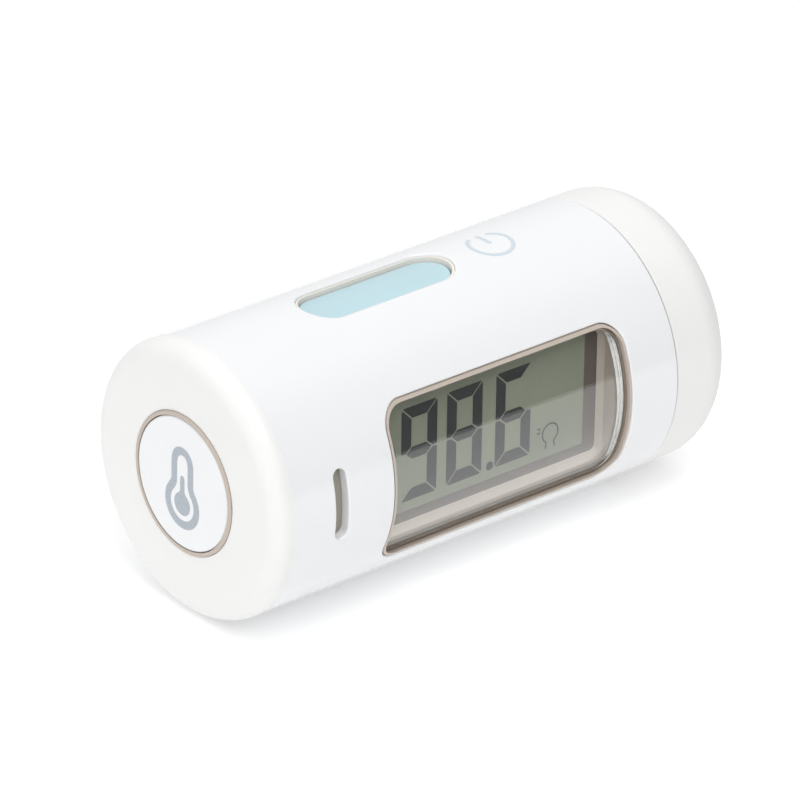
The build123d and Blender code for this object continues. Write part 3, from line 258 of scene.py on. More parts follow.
def surface(tree, output, base, rough, normal, **constants):
    """Ends a tree in one Principled shader. Constants are set on its own sockets."""
    sockets = {"Base Color": base, "Roughness": rough, "Normal": normal}
    sockets.update({key.replace("_", " "): number for key, number in constants.items()})
    shader = add_node(tree, "ShaderNodeBsdfPrincipled", sockets)
    tree.links.new(shader.outputs["BSDF"], output.inputs["Surface"])


# ---------------------------------------------------------------- finishes


def moulded(name, value, rough, grain, depth, mottle=0.02, **constants):
    """Moulded plastic or rubber: a faint cloud in the colour, and the mould's own grain in its
    roughness and relief."""
    made, tree, place, output = new_tree(name)
    cloud = noise(tree, place, 12 * MM, 3)
    fine = noise(tree, place, grain, 3)
    base = ramp(tree, cloud, [(0.3, darker(value, 1 - mottle)), (0.7, tuple(value))])
    rough_map = spread(tree, fine, rough - 0.04, rough + 0.04)
    surface(tree, output, base, rough_map, relief(tree, fine, depth), **constants)
    return made


def polished_shell(name, value):
    """Glossy white shell: barely uneven polish and slow ripples left by the mould."""
    made, tree, place, output = new_tree(name)
    ripple = noise(tree, place, 5 * MM, 2, (0.5, 1, 1))
    dust = noise(tree, place, 0.35 * MM, 4)
    base = ramp(tree, ripple, [(0.3, darker(value, 0.992)), (0.7, tuple(value))])
    rough_map = spread(tree, dust, 0.10, 0.17)
    surface(tree, output, base, rough_map, relief(tree, ripple, 5e-6), IOR=1.5)
    return made


def sparked_shell(name, value):
    """Matte white shell: the fine pits of a spark-eroded mould in its relief and gloss."""
    made, tree, place, output = new_tree(name)
    pits = add_node(tree, "ShaderNodeTexVoronoi", {"Vector": place, "Scale": 1 / (0.17 * MM)})
    grain = noise(tree, place, 0.12 * MM, 4)
    both = add_node(
        tree, "ShaderNodeMath", {0: pits.outputs["Distance"], 1: grain}, operation="ADD"
    ).outputs[0]
    cloud = noise(tree, place, 9 * MM, 3)
    base = ramp(tree, cloud, [(0.3, darker(value, 0.985)), (0.7, tuple(value))])
    rough_map = spread(tree, grain, 0.42, 0.54)
    surface(tree, output, base, rough_map, relief(tree, both, 7e-6))
    return made


def drawn_metal(name, value, rough, stretch, scratch=0.2 * MM):
    """Plated or drawn metal: fine lines along one direction in its gloss and relief, and
    clouds of faint tarnish in its colour."""
    made, tree, place, output = new_tree(name)
    lines = noise(tree, place, scratch, 4, stretch)
    cloud = noise(tree, place, 4 * MM, 3)
    base = ramp(tree, cloud, [(0.25, darker(value, 0.84)), (0.75, tuple(value))])
    rough_map = spread(tree, lines, rough - 0.08, rough + 0.1)
    surface(tree, output, base, rough_map, relief(tree, lines, 2e-6), Metallic=1.0)
    return made


def clear(name, value, rough, ior):
    """Clear moulded plastic with faint flow lines. Lamps shine through it."""
    made, tree, place, output = new_tree(name)
    flow = noise(tree, place, 8 * MM, 2, (1, 1, 3))
    glass = add_node(
        tree,
        "ShaderNodeBsdfPrincipled",
        {
            "Base Color": (*value, 1),
            "Roughness": rough,
            "IOR": ior,
            "Transmission Weight": 1.0,
            "Normal": relief(tree, flow, 3e-6),
        },
    )
    path = tree.nodes.new("ShaderNodeLightPath")
    open_air = add_node(tree, "ShaderNodeBsdfTransparent", {"Color": (*value, 1)})
    mixed = add_node(
        tree,
        "ShaderNodeMixShader",
        {0: path.outputs["Is Shadow Ray"], 1: glass.outputs[0], 2: open_air.outputs[0]},
    )
    tree.links.new(mixed.outputs["Shader"], output.inputs["Surface"])
    return made


def display_cell(name, value):
    """Reflective liquid-crystal cell: the brushed grain of its rear reflector seen through
    the satin front film, drawn out upwards, and a slow drift in its green."""
    made, tree, place, output = new_tree(name)
    brushed = noise(tree, place, 0.25 * MM, 3, (1, 1, 0.05))
    cloud = noise(tree, place, 14 * MM, 2)
    drift = ramp(tree, cloud, [(0.3, darker(value, 0.95)), (0.7, tuple(value))])
    lines = ramp(tree, brushed, [(0.35, (0.955, 0.955, 0.955)), (0.65, (1, 1, 1))])
    base = add_node(tree, "ShaderNodeMix", {0: 1.0}, data_type="RGBA", blend_type="MULTIPLY")
    tree.links.new(drift, base.inputs[6])
    tree.links.new(lines, base.inputs[7])
    rough_map = spread(tree, brushed, 0.32, 0.42)
    normal = relief(tree, brushed, 1e-6)
    surface(tree, output, base.outputs[2], rough_map, normal, Specular_IOR_Level=0.3)
    return made


def circuit_board(name):
    """Green solder mask over copper: straight tracks where bands of two directions meet
    patches of noise, and fine weave of the glass cloth beneath."""
    made, tree, place, output = new_tree(name)
    along = ramp(tree, bands(tree, place, 1.4 * MM, "X"), [(0, (0, 0, 0)), (0.78, (1, 1, 1))], True)
    across = ramp(tree, bands(tree, place, 1.4 * MM, "Z"), [(0, (0, 0, 0)), (0.78, (1, 1, 1))], True)
    area = ramp(tree, noise(tree, place, 6 * MM, 0), [(0, (0, 0, 0)), (0.5, (1, 1, 1))], True)
    tracks = mix_colour(tree, area, along, across)
    base = mix_colour(tree, tracks, tint(20, 78, 48), tint(46, 112, 66))
    weave = noise(tree, place, 0.3 * MM, 2)
    normal = relief(tree, weave, 4e-6)
    surface(tree, output, base, spread(tree, weave, 0.28, 0.4), normal)
    return made


def striped(name, first, second, pitch, rough, direction="X"):
    """Two colours in even stripes with soft noise: elastomer strips, ribbon tracks and chip
    terminals."""
    made, tree, place, output = new_tree(name)
    stripe = bands(tree, place, pitch, direction)
    base = ramp(tree, stripe, [(0.0, first), (0.5, second)], True)
    fine = noise(tree, place, 0.2 * MM, 3)
    normal = relief(tree, fine, 3e-6)
    surface(tree, output, base, spread(tree, fine, rough - 0.05, rough + 0.05), normal)
    return made


def speckled(name, value, rough):
    """Black moulded component: pale filler specks, and a fine matte grain."""
    made, tree, place, output = new_tree(name)
    specks = noise(tree, place, 0.09 * MM, 2)
    base = ramp(tree, specks, [(0.55, tuple(value)), (0.75, tuple(np.array(value) + 0.05))])
    rough_map = spread(tree, specks, rough, rough + 0.15)
    surface(tree, output, base, rough_map, relief(tree, specks, 3e-6))
    return made


def printed(name, value, rough=0.35):
    """Pad-printed ink: slightly uneven cover and the edge-free satin of a thin film."""
    made, tree, place, output = new_tree(name)
    cover = noise(tree, place, 0.3 * MM, 4)
    base = ramp(tree, cover, [(0.25, darker(value, 0.96)), (0.75, tuple(value))])
    rough_map = spread(tree, cover, rough - 0.05, rough + 0.05)
    surface(tree, output, base, rough_map, relief(tree, cover, 1e-6))
    return made


def infrared_window(name):
    """Dark coated silicon: a violet sheen that shifts to bronze where the coating is thinner."""
    made, tree, place, output = new_tree(name)
    coating = noise(tree, place, 3 * MM, 2)
    base = ramp(tree, coating, [(0.3, tint(62, 52, 82)), (0.7, tint(98, 78, 70))])
    fine = noise(tree, place, 0.2 * MM, 2)
    normal = relief(tree, fine, 5e-7)
    surface(tree, output, base, spread(tree, fine, 0.06, 0.12), normal, Metallic=0.7)
    return made


# ---------------------------------------------------------------- shapes


def unit(vectors):
    """Every vector at length one."""
    return vectors / np.linalg.norm(vectors, axis=-1, keepdims=True)


def rounded(corners, radii, steps=6, inset=0.0):
    """Points and outward normals of a closed outline with round corners, anticlockwise.

    a and b are the unit vectors from a corner to its neighbours, m their mean direction and t
    half the angle between them. A round of radius r has its middle r / sin(t) along m, and its
    radius turns evenly from a / tan(t) - m / sin(t) to b / tan(t) - m / sin(t). An inset first
    moves each corner inset / sin(t) along m, outwards at a hollow corner."""
    corner = np.asarray(corners, float)
    radius = np.broadcast_to(np.asarray(radii, float), len(corner))[:, None]
    before = unit(np.roll(corner, 1, 0) - corner)
    after = unit(np.roll(corner, -1, 0) - corner)
    middle = unit(before + after)
    half = np.arccos(np.clip((before * after).sum(1), -1, 1))[:, None] / 2
    turn = np.sign(after[:, :1] * before[:, 1:] - after[:, 1:] * before[:, :1])
    corner = corner + turn * middle * inset / np.sin(half)
    centre = corner + middle * radius / np.sin(half)
    first = before / np.tan(half) - middle / np.sin(half)
    last = after / np.tan(half) - middle / np.sin(half)
    sweep = np.pi - 2 * half
    share = np.linspace(0, 1, steps)[None, :]
    ahead = (np.sin((1 - share) * sweep) / np.sin(sweep))[..., None]
    behind = (np.sin(share * sweep) / np.sin(sweep))[..., None]
    arm = ahead * first[:, None] + behind * last[:, None]
    points = centre[:, None] + radius[:, None] * arm
    return points.reshape(-1, 2), (arm * turn[:, None]).reshape(-1, 2)


def traced(path):
    """A closed path and its outward normals: the tangent, by central differences, turned a
    quarter to the right."""
    tangent = unit(np.roll(path, -1, 0) - np.roll(path, 1, 0))
    return path, np.stack((tangent[:, 1], -tangent[:, 0]), -1)


def rectangle(width, height, middle=(0, 0)):
    """The four corners of an upright rectangle, anticlockwise."""
    signs = np.array(((-1, -1), (1, -1), (1, 1), (-1, 1)), float)
    return signs * (width / 2, height / 2) + middle


def grid_faces(rows, columns, wrap_rows):
    """Quads of a grid that closes on itself across its columns, and along its rows if asked."""
    row = np.arange(rows if wrap_rows else rows - 1)[:, None]
    column = np.arange(columns)[None, :]
    next_row = (row + 1) % rows
    next_column = (column + 1) % columns
    corners = (
        row * columns + column,
        next_row * columns + column,
        next_row * columns + next_column,
        row * columns + next_column,
    )
    return np.stack(np.broadcast_arrays(*corners), -1).reshape(-1, 4)


def add_piece(name, points, normals, faces, caps, material, body):
    """A smooth piece with worked-out normals, its faces turned to agree with them."""
    spans = points[faces]
    facing = np.cross(spans[:, 2] - spans[:, 0], spans[:, 3] - spans[:, 1])
    if (facing * normals[faces[:, 0]]).sum() < 0:
        faces = faces[:, ::-1]
        caps = [cap[::-1] for cap in caps]
    mesh = bpy.data.meshes.new(name)
    mesh.from_pydata(points, [], faces.tolist() + [cap.tolist() for cap in caps])
    mesh.polygons.foreach_set("use_smooth", np.ones(len(mesh.polygons), bool))
    mesh.normals_split_custom_set_from_vertices(unit(normals))
    mesh.materials.append(material)
    piece = bpy.data.objects.new(name, mesh)
    bpy.context.scene.collection.objects.link(piece)
    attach(piece, body)
    return piece


def placed(place, points, normals):
    """Flat points (across, up, out) taken to their place, and their normals with them."""
    step = 1e-6
    there = place(points)
    return there, unit(place(points + normals * step) - there)


def on_display(depth):
    """Place on a plane that faces the display side, depth metres from the axis."""
    return lambda p: np.stack((p[:, 0], -(depth + p[:, 2]), p[:, 1]), -1)


def on_rear(face):
    """Place on a plane that faces the rear, at x = face."""
    return lambda p: np.stack((face - p[:, 2], -p[:, 0], p[:, 1]), -1)


def on_back(depth):
    """Place on a plane that faces the battery side, depth metres from the axis."""
    return lambda p: np.stack((-p[:, 0], depth + p[:, 2], p[:, 1]), -1)


def on_floor_side(depth):
    """Place on a plane that faces down, depth metres under the axis."""
    return lambda p: np.stack((p[:, 0], p[:, 1], -(depth + p[:, 2])), -1)


def on_barrel(radius):
    """Place wrapped round the top of a barrel: across runs along it, up runs round it."""

    def wrap(p):
        reach, angle = radius + p[:, 2], p[:, 1] / radius
        return np.stack((p[:, 0], reach * np.sin(angle), reach * np.cos(angle)), -1)

    return wrap


def slab(name, shape, height, place, material, body="body"):
    """A flat plate: its outline is carried up its side and over a round edge.

    With s from 0 to 90 degrees, the edge pulls the outline in by edge * (1 - cos s) and lifts
    it to height - edge + edge * sin s. shape is the outline's points and outward normals."""
    edge = height * 0.5
    outline, outward = shape
    count = len(outline)
    turn = np.linspace(0, np.pi / 2, 4)
    pull = np.concatenate(((0.0,), edge * (1 - np.cos(turn))))
    lift = np.concatenate(((0.0,), height - edge + edge * np.sin(turn)))
    lean = np.concatenate(((0.0,), np.sin(turn)))
    flat = outline[None] - outward[None] * pull[:, None, None]
    rise = np.broadcast_to(lift[:, None, None], (len(lift), count, 1))
    side = outward[None] * np.sqrt(1 - lean**2)[:, None, None]
    top = np.broadcast_to(lean[:, None, None], (len(lift), count, 1))
    points = np.concatenate((flat, rise), -1).reshape(-1, 3)
    normals = np.concatenate((side, top), -1).reshape(-1, 3)
    points, normals = placed(place, points, normals)
    faces = grid_faces(len(lift), count, False)
    ring = np.arange(count)
    caps = [ring, (len(lift) - 1) * count + ring[::-1]]
    return add_piece(name, points, normals, faces, caps, material, body)


def stroke(name, path, width, height, place, material, slot, closed=False, body="body"):
    """A raised line: a rounded rectangle width by height carried along a flat path.

    The path's normal is its tangent, by central differences, turned a quarter to the right."""
    if closed:
        tangent = np.roll(path, -1, 0) - np.roll(path, 1, 0)
    else:
        tangent = np.gradient(path, axis=0)
    tangent = unit(tangent)
    sideways = np.stack((tangent[:, 1], -tangent[:, 0]), -1)
    section = rectangle(width, height, (0, height / 2))
    around, outward = rounded(section, height * 0.3, 3)
    flat = path[:, None] + sideways[:, None] * around[None, :, :1]
    rise = np.broadcast_to(around[None, :, 1:], (len(path), len(around), 1))
    side = sideways[:, None] * outward[None, :, :1]
    top = np.broadcast_to(outward[None, :, 1:], (len(path), len(around), 1))
    points = np.concatenate((flat, rise), -1).reshape(-1, 3)
    normals = np.concatenate((side, top), -1).reshape(-1, 3)
    points, normals = placed(place, points, normals)
    faces = grid_faces(len(path), len(around), closed)
    ring = np.arange(len(around))
    caps = [] if closed else [ring, (len(path) - 1) * len(around) + ring[::-1]]
    return add_piece(name, points, normals, faces, caps, material, body)


def resampled(outline, outward, count):
    """A closed outline and its normals at count even steps along its length."""
    closed = np.concatenate((outline, outline[:1]))
    normals = np.concatenate((outward, outward[:1]))
    along = np.concatenate(((0.0,), np.cumsum(np.linalg.norm(np.diff(closed, axis=0), axis=1))))
    step = np.linspace(0, along[-1], count, endpoint=False)
    at = np.stack([np.interp(step, along, closed[:, axis]) for axis in (0, 1)], -1)
    lean = np.stack([np.interp(step, along, normals[:, axis]) for axis in (0, 1)], -1)
    return at, unit(lean)


def window_bead(name, section, edge, corner, material):
    """A closed bead round the lens. section holds the corners of its cross-section as (inset
    from the lens's outline, distance from the axis), and edge rounds them.

    The outline lies in x and z. A point at distance r has y = -sqrt(r^2 - z^2), its normal is
    the section's normal spread over the outline's inward direction and the radius."""
    low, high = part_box("display_lens")
    lens = rectangle(high.x - low.x, high.z - low.z, ((low.x + high.x) / 2, 0))
    line, outward = resampled(*rounded(lens, corner, 12), 360)
    around, lean = rounded(section, edge, 4)
    flat = line[:, None] - outward[:, None] * around[None, :, :1]
    reach = np.broadcast_to(around[None, :, 1], flat.shape[:2])
    points = np.stack((flat[..., 0], -np.sqrt(reach**2 - flat[..., 1] ** 2), flat[..., 1]), -1)
    spoke = unit(points * (0, 1, 1))
    inward = np.stack((-outward[:, 0], np.zeros(len(line)), -outward[:, 1]), -1)[:, None]
    normals = lean[None, :, :1] * inward + lean[None, :, 1:] * spoke
    faces = grid_faces(len(line), len(around), True)
    points, normals = points.reshape(-1, 3), normals.reshape(-1, 3)
    return add_piece(name, points, normals, faces, [], material, "body")


def arc(middle, radius, start, end, count=48):
    """Points round a circle from start to end, in degrees from the right, anticlockwise."""
    angle = np.radians(np.linspace(start, end, count))
    return np.stack((np.cos(angle), np.sin(angle)), -1) * radius + middle


# ---------------------------------------------------------------- operators


class ThermometerOperator:
    """What every operator of this add-on shares."""

    bl_options = {"REGISTER", "UNDO"}


class THERMOMETER_OT_finishes(ThermometerOperator, bpy.types.Operator):
    """Gives every part its moulded, plated or printed finish"""

    bl_idname = "thermometer.finishes"
    bl_label = "Finishes"

    def execute(self, context):
        shell = context.scene.thermometer_shell
        display = context.scene.thermometer_display
        steel = tint(196, 198, 202)
        made = {
            "white_gloss": polished_shell("polished white shell", shell.gloss_white),
            "white_matte": sparked_shell("sparked white shell", shell.matte_white),
            # Beige surround and button ring: own colour with painted shade of their recessed walls and
            # gap mixed in.
            "beige_plastic": moulded("beige surround", shell.beige, 0.4, 0.2 * MM, 4e-6),
            "beige_rubber": moulded("beige button ring", shell.beige, 0.65, 0.3 * MM, 8e-6, 0.05),
            "key_blue": moulded(
                "blue button plastic", shell.blue, 0.36, 0.25 * MM, 4e-6, 0.02, Coat_Weight=0.15
            ),
            "clear_lens": clear("clear lens plastic", (0.985, 0.99, 0.985), rough=0.015, ior=1.57),
            "smoked_lens": moulded(
                "smoked light pipe", tint(150, 144, 133), 0.3, 0.3 * MM, 4e-6, 0.08, Coat_Weight=0.3
            ),
            "lcd_cell": display_cell("display cell", display.cell_colour),
            "reflector_white": moulded("backlight diffuser", (0.8, 0.8, 0.78), 0.5, 0.2 * MM, 3e-6),
            "elastomer_strip": striped(
                "elastomer strip", tint(40, 38, 40), tint(214, 160, 168), 0.2 * MM, 0.6
            ),
            "seal_rubber": moulded("seal rubber", tint(58, 58, 60), 0.7, 0.2 * MM, 8e-6, 0.2),
            "frame_plastic": moulded("inner frame plastic", tint(214, 214, 208), 0.5, 0.3 * MM, 6e-6),
            "circuit_board": circuit_board("circuit board"),
            "component_black": speckled("component resin", tint(30, 30, 33), 0.5),
            "component_tan": striped(
                "chip terminals", tint(196, 198, 200), tint(170, 132, 92), 2.8 * MM, 0.4
            ),
            "led_clear": moulded("light diode resin", tint(232, 226, 190), 0.2, 0.4 * MM, 2e-6),
            "screw_steel": drawn_metal("screw steel", steel, 0.3, (1, 0.15, 1)),
            "nickel": drawn_metal("nickel plate", tint(206, 204, 198), 0.27, (0.1, 1, 1)),
            "can_steel": drawn_metal("can steel", steel, 0.22, (0.1, 1, 1), 0.3 * MM),
            "aluminium_block": drawn_metal("turned aluminium", tint(210, 211, 214), 0.38, (2, 1, 1)),
            "gold_plate": drawn_metal("gold plate", tint(232, 190, 104), 0.2, (0.1, 1, 1)),
            "infrared_window": infrared_window("coated silicon"),
            "probe_grey": sparked_shell("probe plastic", tint(218, 219, 220)),
            "ribbon_amber": striped(
                "ribbon film", tint(176, 104, 36), tint(200, 136, 66), 0.6 * MM, 0.3, "Z"
            ),
        }
        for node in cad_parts.values():
            slot = node.material_slots[0]
            slot.material = made[slot.material.name]
        # Pale beige on the key's surround: partly its own colour, partly painted shade of the recess
        # wall.
        pale = moulded("pale liner", shell.liner, 0.4, 0.2 * MM, 4e-6)
        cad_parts["key_surround"].material_slots[0].material = pale
        return {"FINISHED"}


class THERMOMETER_OT_digits(ThermometerOperator, bpy.types.Operator):
    """Lays the display's three digits, its point and its unlit border on the cell"""

    bl_idname = "thermometer.digits"
    bl_label = "Digits"

    def execute(self, context):
        display = context.scene.thermometer_display
        wide, tall = display.digit_width, display.digit_height
        bar, waist = display.stroke, display.digit_height / 2
        tip = bar * 0.45
        low, high = waist - bar / 2, waist + bar / 2
        segments = {
            "top": ((bar, tall - bar), (wide - bar, tall - bar), (wide, tall), (0, tall)),
            "upper_left": ((0, high - tip), (tip, waist), (bar, high), (bar, tall - bar), (0, tall)),
            "middle": (
                (tip, waist), (bar, low), (wide - bar, low), (wide - tip, waist),
                (wide - bar, high), (bar, high),
            ),
            "lower_left": ((0, 0), (bar, bar), (bar, low), (tip, waist), (0, low + tip)),
            "bottom": ((0, 0), (wide, 0), (wide - bar, bar), (bar, bar)),
        }
        for side in ("upper", "lower"):
            left = np.array(segments[side + "_left"])
            segments[side + "_right"] = ((wide, 0) + left * (-1, 1))[::-1]
        lit = {
            "tens": "top upper_left upper_right middle lower_right bottom",
            "units": "top upper_left upper_right middle lower_left lower_right bottom",
            "tenths": "top upper_left middle lower_left lower_right bottom",
        }
        cell_low, cell_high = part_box("lcd_panel")
        depth = -cell_low.y
        place = on_display(depth + PRINT_HEIGHT)
        ink = printed("display segments", display.ink_colour, 0.4)
        left_edges = {"tens": -14.3 * MM, "units": -6.65 * MM, "tenths": 1.65 * MM}
        soft, open_foot = 0.08 * MM, 1.1 * MM
        for digit, left in left_edges.items():
            corner = np.array((left, display.digit_base))
            for segment in lit[digit].split():
                radii = soft
                if digit == "tens" and segment == "bottom":
                    radii = (soft, soft, soft, open_foot)
                corners = np.array(segments[segment]) + corner
                shape = rounded(corners, radii, inset=display.gap / 2)
                slab(f"digit_{digit}_{segment}", shape, PRINT_HEIGHT, place, ink)
        point_x, point_wide, point_tall = 0.9 * MM, 1.15 * MM, 1.2 * MM
        point_middle = (point_x, display.digit_base + point_tall / 2)
        point = rounded(rectangle(point_wide, point_tall, point_middle), 0.5 * MM)
        slab("digit_point", point, PRINT_HEIGHT, place, ink)

        margin, covered, foot_band = 0.05 * MM, 1.5 * MM, 2.35 * MM
        left, right = cell_low.x + margin, cell_high.x - margin
        foot, top = cell_low.z + margin, cell_high.z - margin
        edge_x = cell_high.x - covered - display.border
        edge_z = cell_low.z + foot_band
        border = (
            (left, foot), (right, foot), (right, top),
            (edge_x, top), (edge_x, edge_z), (left, edge_z),
        )
        dull = printed("unlit border", display.border_colour, 0.45)
        shape = rounded(border, margin)
        slab("display_border", shape, PRINT_HEIGHT, on_display(depth), dull)
        return {"FINISHED"}


class THERMOMETER_OT_reading_sign(ThermometerOperator, bpy.types.Operator):
    """Draws the small outline sign beside the digits: a round head on two short lines"""

    bl_idname = "thermometer.reading_sign"
    bl_label = "Reading sign"

    def execute(self, context):
        display = context.scene.thermometer_display
        depth = -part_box("lcd_panel")[0].y
        place = on_display(depth + PRINT_HEIGHT)
        ink = printed("display lines", darker(display.ink_colour, 2.0), 0.4)
        middle = np.array((11.3, -3.55)) * MM
        line, radius = 0.22 * MM, 1.35 * MM
        neck = np.array((0.15, -0.85)) * MM
        head = arc(middle, radius, -62, 242)
        neck_left = head[-1] + np.linspace((0, 0), neck * (-1, 1), 6)
        neck_right = head[0] + np.linspace((0, 0), neck, 6)
        path = np.concatenate((neck_right[::-1], head[1:-1], neck_left))
        stroke("sign_head", path, line, PRINT_HEIGHT, place, ink, "lcd_cell")
        rays = np.array((((-2.35, 0.5), (-1.75, 0.5)), ((-2.2, 1.2), (-1.75, 0.95)))) * MM
        for index, (start, end) in enumerate(rays):
            ray = middle + np.linspace(start, end, 4)
            stroke(f"sign_ray_{index}", ray, line, PRINT_HEIGHT, place, ink, "lcd_cell")
        return {"FINISHED"}


class THERMOMETER_OT_power_mark(ThermometerOperator, bpy.types.Operator):
    """Prints the power sign on the barrel: an open ring and a bar"""

    bl_idname = "thermometer.power_mark"
    bl_label = "Power mark"

    def execute(self, context):
        shell = context.scene.thermometer_shell
        place = on_barrel(cad_box[1].z)
        ink = printed("printed pale blue", shell.print_blue, 0.3)
        middle = np.array((shell.power_mark_x, shell.power_mark_turn))
        wide, radius = shell.power_mark_stroke, shell.power_mark_radius
        ring = arc(middle, radius, 118, 422, 96)
        stroke("power_mark_ring", ring, wide, PRINT_HEIGHT, place, ink, "white_gloss")
        bar = middle + np.linspace((0, 0), (0, radius), 24)
        stroke("power_mark_bar", bar, wide, PRINT_HEIGHT, place, ink, "white_gloss")
        return {"FINISHED"}


class THERMOMETER_OT_scan_mark(ThermometerOperator, bpy.types.Operator):
    """Prints a plain thermometer sign on the scan button: an outlined tube, bulb and column"""

    bl_idname = "thermometer.scan_mark"
    bl_label = "Scan mark"

    def execute(self, context):
        shell = context.scene.thermometer_shell
        place = on_rear(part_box("scan_button")[0].x)
        ink = printed("printed grey", shell.print_grey, 0.3)
        bulb_z = -shell.scan_height / 2 + 0.1 * MM
        line, thick = shell.scan_stroke, PRINT_HEIGHT
        tube = self.outline(shell.scan_bulb, shell.scan_tube, bulb_z, shell.scan_height)
        stroke("scan_mark_tube", tube, line, thick, place, ink, "white_gloss", True, "scan_key")
        bulb, column = shell.scan_bulb - line * 1.15, shell.scan_tube - line * 1.05
        fill = self.outline(bulb, column, bulb_z, shell.scan_height * 0.62)
        slab("scan_mark_column", traced(fill), thick, place, ink, "scan_key")
        return {"FINISHED"}

    def outline(self, bulb, tube, bulb_z, height):
        """A round bulb and a round-topped tube, anticlockwise: the tube's straight sides leave
        the bulb where its circle is as wide as the tube. Each of 240 even steps is then taken
        to the mean of its 15 neighbours, which softens the two necks."""
        lean = np.degrees(np.arccos(tube / bulb))
        under = arc((0, bulb_z), bulb, 180 - lean, 360 + lean, 64)
        over = arc((0, bulb_z + height), tube, 0, 180, 32)
        path = resampled(*traced(np.concatenate((under, over))), 240)[0]
        return np.mean([np.roll(path, shift, 0) for shift in range(-7, 8)], 0)


class THERMOMETER_OT_lens_shade_and_glint(ThermometerOperator, bpy.types.Operator):
    """Sets a dark strip round the lens, painted shade in the gap between lens and surround, and a white
    strip under its rim, a painted highlight on the lens's edge
    """

    bl_idname = "thermometer.lens_seal"
    bl_label = "Lens shade and glint"

    def execute(self, context):
        display = context.scene.thermometer_display
        top = -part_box("display_lens")[0].y
        rim_depth, foot_gap, clearance = 1.85 * MM, 0.1 * MM, 0.05 * MM
        glint_thick, glint_inset = 0.04 * MM, 0.23 * MM
        # Dark strip round the lens: painted shade in the gap between lens and surround, not a real
        # seal.
        rubber = moulded("painted lens shade", display.painted_shade_colour, 0.42, 0.2 * MM, 3e-6, 0.1)
        wide, foot = display.shade_strip_width, top - rim_depth + foot_gap
        tall = top + display.shade_strip_sink - foot
        section = rectangle(wide, tall, (-clearance - wide / 2, foot + tall / 2))
        window_bead("lens_shade_strip", section, 0.1 * MM, display.lens_corner, rubber)
        # White strip under the lens's rim: a painted highlight of the lens's edge, not real tape.
        under = top - rim_depth - glint_thick / 2
        flat = rectangle(display.glint_width, glint_thick, (glint_inset, under))
        glint = moulded("white tape", (0.92, 0.92, 0.9), 0.4, 0.3 * MM, 2e-6)
        window_bead("lens_glint_line", flat, 0.01 * MM, display.lens_corner, glint)
        return {"FINISHED"}


class THERMOMETER_OT_lens_clips(ThermometerOperator, bpy.types.Operator):
    """Outlines the two snap clips on the lens's lower edge with pale lines, painted highlights on their
    clear edges
    """

    bl_idname = "thermometer.lens_clips"
    bl_label = "Lens clips"

    def execute(self, context):
        low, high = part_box("display_lens")
        long, wide, line = 4.3 * MM, 1.1 * MM, 0.13 * MM
        middle, depth = (low.x + high.x) / 2, high.y - wide
        # Pale outlines round the clips: painted highlights along the clear clips' edges.
        clip_glint = moulded("painted clip glint", tint(190, 184, 172), 0.4, 0.2 * MM, 2e-6)
        gap = 0.005 * MM
        place = on_floor_side(gap - low.z)
        for side, shift in (("rear", -10.05 * MM), ("front", 11.85 * MM)):
            clip = rectangle(long, wide, (middle + shift, depth))
            path = resampled(*rounded(clip, 0.2 * MM), 72)[0]
            name = f"lens_clip_{side}"
            stroke(name, path, line, PRINT_HEIGHT, place, clip_glint, "clear_lens", True)
        return {"FINISHED"}


class THERMOMETER_OT_cell_mark(ThermometerOperator, bpy.types.Operator):
    """Stamps the plus sign and the border ring on the coin cell"""

    bl_idname = "thermometer.cell_mark"
    bl_label = "Cell mark"

    def execute(self, context):
        low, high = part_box("coin_cell")
        centre = (low.x + high.x) / 2
        place = on_back(high.y)
        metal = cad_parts["coin_cell"].material_slots[0].material
        arm, half, height = 2.4 * MM, 0.35 * MM, 0.05 * MM
        ring_radius, ring_line = 8.3 * MM, 0.3 * MM
        quarter = np.array(((half, half), (half, arm), (-half, arm)))
        turns = np.array(((0, -1), (1, 0)))
        parts = [quarter]
        for _ in range(3):
            parts.append(parts[-1] @ turns.T)
        cross = np.concatenate(parts) + (-centre, 0)
        slab("cell_plus", rounded(cross, 0.1 * MM), height, place, metal, "cell")
        ring = arc((-centre, 0), ring_radius, 0, 360, 97)[:-1]
        stroke("cell_ring", ring, ring_line, height, place, metal, "nickel", True, "cell")
        return {"FINISHED"}


